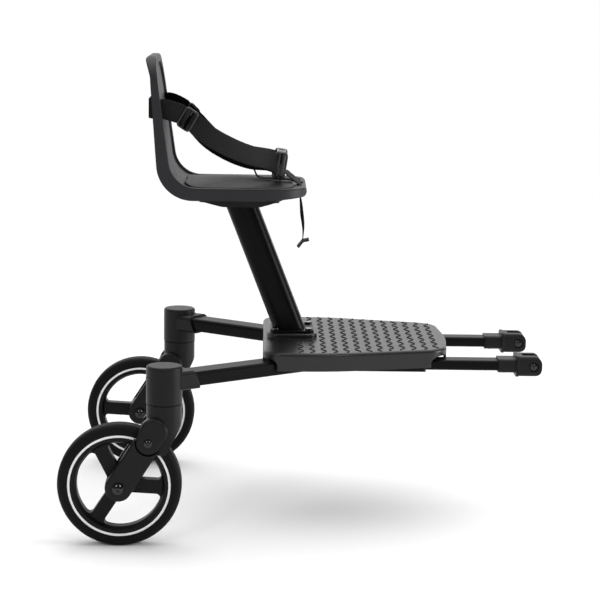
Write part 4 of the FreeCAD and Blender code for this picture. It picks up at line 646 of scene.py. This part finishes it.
# Crotch strap. Narrower webbing that curls up behind the buckle, passes under it and goes down through
# the slot in the pan's nose. Its loose end hangs below the seat to a bent rubber stopper.
crotch_w = 0.02
crotch_twist = {"front": 0.22, "under": 0.0}
crotch_twist_power = 0.5
crotch_count = 120
crotch_layers = {
    "front": ((-0.0306, 0.4396), (-0.0266, 0.4397), (-0.0214, 0.4354), (-0.0158, 0.4311), (-0.0107, 0.4267),
              (-0.0077, 0.4210), (-0.0077, 0.4100)),
    "under": ((-0.0688, 0.4431), (-0.0661, 0.4371), (-0.0633, 0.4335), (-0.0557, 0.4318), (-0.0450, 0.4315),
              (-0.0355, 0.4311), (-0.0250, 0.4306), (-0.0165, 0.4286), (-0.0120, 0.4258), (-0.0093, 0.4205),
              (-0.0093, 0.4100))}
for layer, stations in crotch_layers.items():
    turned = crotch_twist[layer] * np.sin(np.pi * np.linspace(0, 1, crotch_count) ** crotch_twist_power)
    line = smooth_line([(x, 0, z) for x, z in stations], crotch_count)
    rings, cloth = webbing(line, crotch_w, web_t, upright=False, twist=turned)
    strap = grid("crotch_" + layer, rings, "frame", web, caps=True, uv=cloth)
    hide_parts("crotch_strap")
tail_w = 0.009
tail_t = 0.0014
tail_twist = 0.42
tail_twist_power = 0.7
tail_path = [(-0.0085, 0.4099), (-0.0070, 0.398), (-0.0058, 0.385), (-0.0040, 0.373), (-0.0034, 0.362),
             (-0.0043, 0.352)]
guide = bpy.data.curves.new("tail_guide", "CURVE")
guide.dimensions = "3D"
spline = guide.splines.new("NURBS")
spline.points.add(len(tail_path) - 1)
for point, (x, z) in zip(spline.points, tail_path):
    point.co = (x, 0.0, z, 1.0)
spline.order_u = 3
spline.use_endpoint_u = True
spline.resolution_u = 16
holder = bpy.data.objects.new("tail_guide", guide)
traced = bpy.data.meshes.new_from_object(holder)
tail_line = np.empty(len(traced.vertices) * 3)
traced.vertices.foreach_get("co", tail_line)
tail_line = tail_line.reshape(-1, 3)
bpy.data.objects.remove(holder)
turned = tail_twist * np.sin(np.pi * np.linspace(0, 1, len(tail_line)) ** tail_twist_power)
rings, cloth = webbing(tail_line, tail_w, tail_t, upright=False, twist=turned)
# The loose tail takes the copy of the webbing with painted shade.
tail = grid("tail_webbing", rings, "frame", web_painted_shade, caps=True, uv=cloth)
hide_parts("strap_tail")
# The stopper is dull soft rubber like the suspension's rolls.
dress(spring_rubber, "strap_stopper")


# Stage. A wide pale floor under one broad overhead light. The room is bright behind the board, dim on
# the camera's side and past the hitch, and three soft windows, one ahead and two in front, give glints.
floor_half = 80.0
floor_corners = ((-1, -1), (1, -1), (1, 1), (-1, 1))
floor_mesh = bpy.data.meshes.new("floor")
floor_mesh.from_pydata([(x * floor_half, y * floor_half, 0) for x, y in floor_corners], [], [(0, 1, 2, 3)])
floor = bpy.data.objects.new("floor", floor_mesh)
bpy.context.scene.collection.objects.link(floor)
# Matt white that mirrors nothing.
pale, tree, surface = material("pale_floor", roughness=0.9, Specular_IOR_Level=0.0)
surface.inputs["Base Color"].default_value = colour("#f8f8f8")
floor_mesh.materials.append(pale)
world = bpy.data.worlds.new("studio")
world.use_nodes = True
heading = add(world.node_tree, "TexCoord", {}).outputs["Generated"]
towards = add(world.node_tree, "SeparateXYZ", {"Vector": heading})
sweep = add(world.node_tree, "MapRange", {"Value": towards.outputs["Y"], "From Min": -1.0, "From Max": 1.0,
                                          "To Min": 0.04, "To Max": 1.2})
dark_end = add(world.node_tree, "MapRange", {"Value": towards.outputs["X"], "From Min": 0.25, "From Max": 0.9,
                                             "To Min": 1.0, "To Max": 0.25})
glow = add(world.node_tree, "Math", {0: sweep.outputs["Result"], 1: dark_end.outputs["Result"]},
           operation="MULTIPLY")
backdrop = world.node_tree.nodes["Background"]
backdrop.inputs["Color"].default_value = (1.0, 1.0, 1.0, 1.0)
world.node_tree.links.new(glow.outputs["Value"], backdrop.inputs["Strength"])
bpy.context.scene.world = world
bpy.context.scene.view_settings.view_transform = "Standard"
overhead = bpy.data.lights.new("overhead", "SUN")
overhead.energy = 1.7
overhead.angle = np.radians(70.0)
lamp = bpy.data.objects.new("overhead", overhead)
lamp.rotation_euler = (np.radians(-12.0), np.radians(6.0), 0.0)
bpy.context.scene.collection.objects.link(lamp)


def placed(right, up, back, place):
    """The matrix that puts an object at a place, with its three axes along right, up and back."""
    axes = np.stack([right, up, back, place], axis=1)
    return Matrix(np.vstack([axes, [0.0, 0.0, 0.0, 1.0]]).tolist())


def softbox(name, place, target, size, power):
    """A square area light that faces a target."""
    light = bpy.data.lights.new(name, "AREA")
    light.size = size
    light.energy = power
    lamp = bpy.data.objects.new(name, light)
    back = np.array(place) - np.array(target)
    back = back / np.linalg.norm(back)
    right = np.cross([0.0, 0.0, 1.0], back)
    right = right / np.linalg.norm(right)
    lamp.matrix_world = placed(right, np.cross(back, right), back, place)
    bpy.context.scene.collection.objects.link(lamp)


softbox("nose_window", place=(2.2, -0.25, 0.55), target=(0.0, 0.0, 0.4), size=0.9, power=24.0)
softbox("front_window_rear", place=(-1.15, -2.3, 1.5), target=(-0.15, 0.0, 0.25), size=0.5, power=10.0)
softbox("front_window_nose", place=(0.85, -2.3, 1.5), target=(-0.05, 0.0, 0.25), size=0.5, power=10.0)

camera_data = bpy.data.cameras.new("camera")
camera_data.sensor_fit = "HORIZONTAL"
camera_data.sensor_width = 36.0
camera_data.lens = 117.0
camera_data.clip_end = 4 * floor_half
camera = bpy.data.objects.new("camera", camera_data)
camera_right = (0.99976, -0.01589, 0.01499)
camera_up = (-0.01216, 0.16537, 0.98616)
camera_back = (-0.01815, -0.98610, 0.16514)
camera_place = (-0.0530, -2.5241, 0.6942)
camera.matrix_world = placed(camera_right, camera_up, camera_back, camera_place)
bpy.context.scene.collection.objects.link(camera)
bpy.context.scene.camera = camera
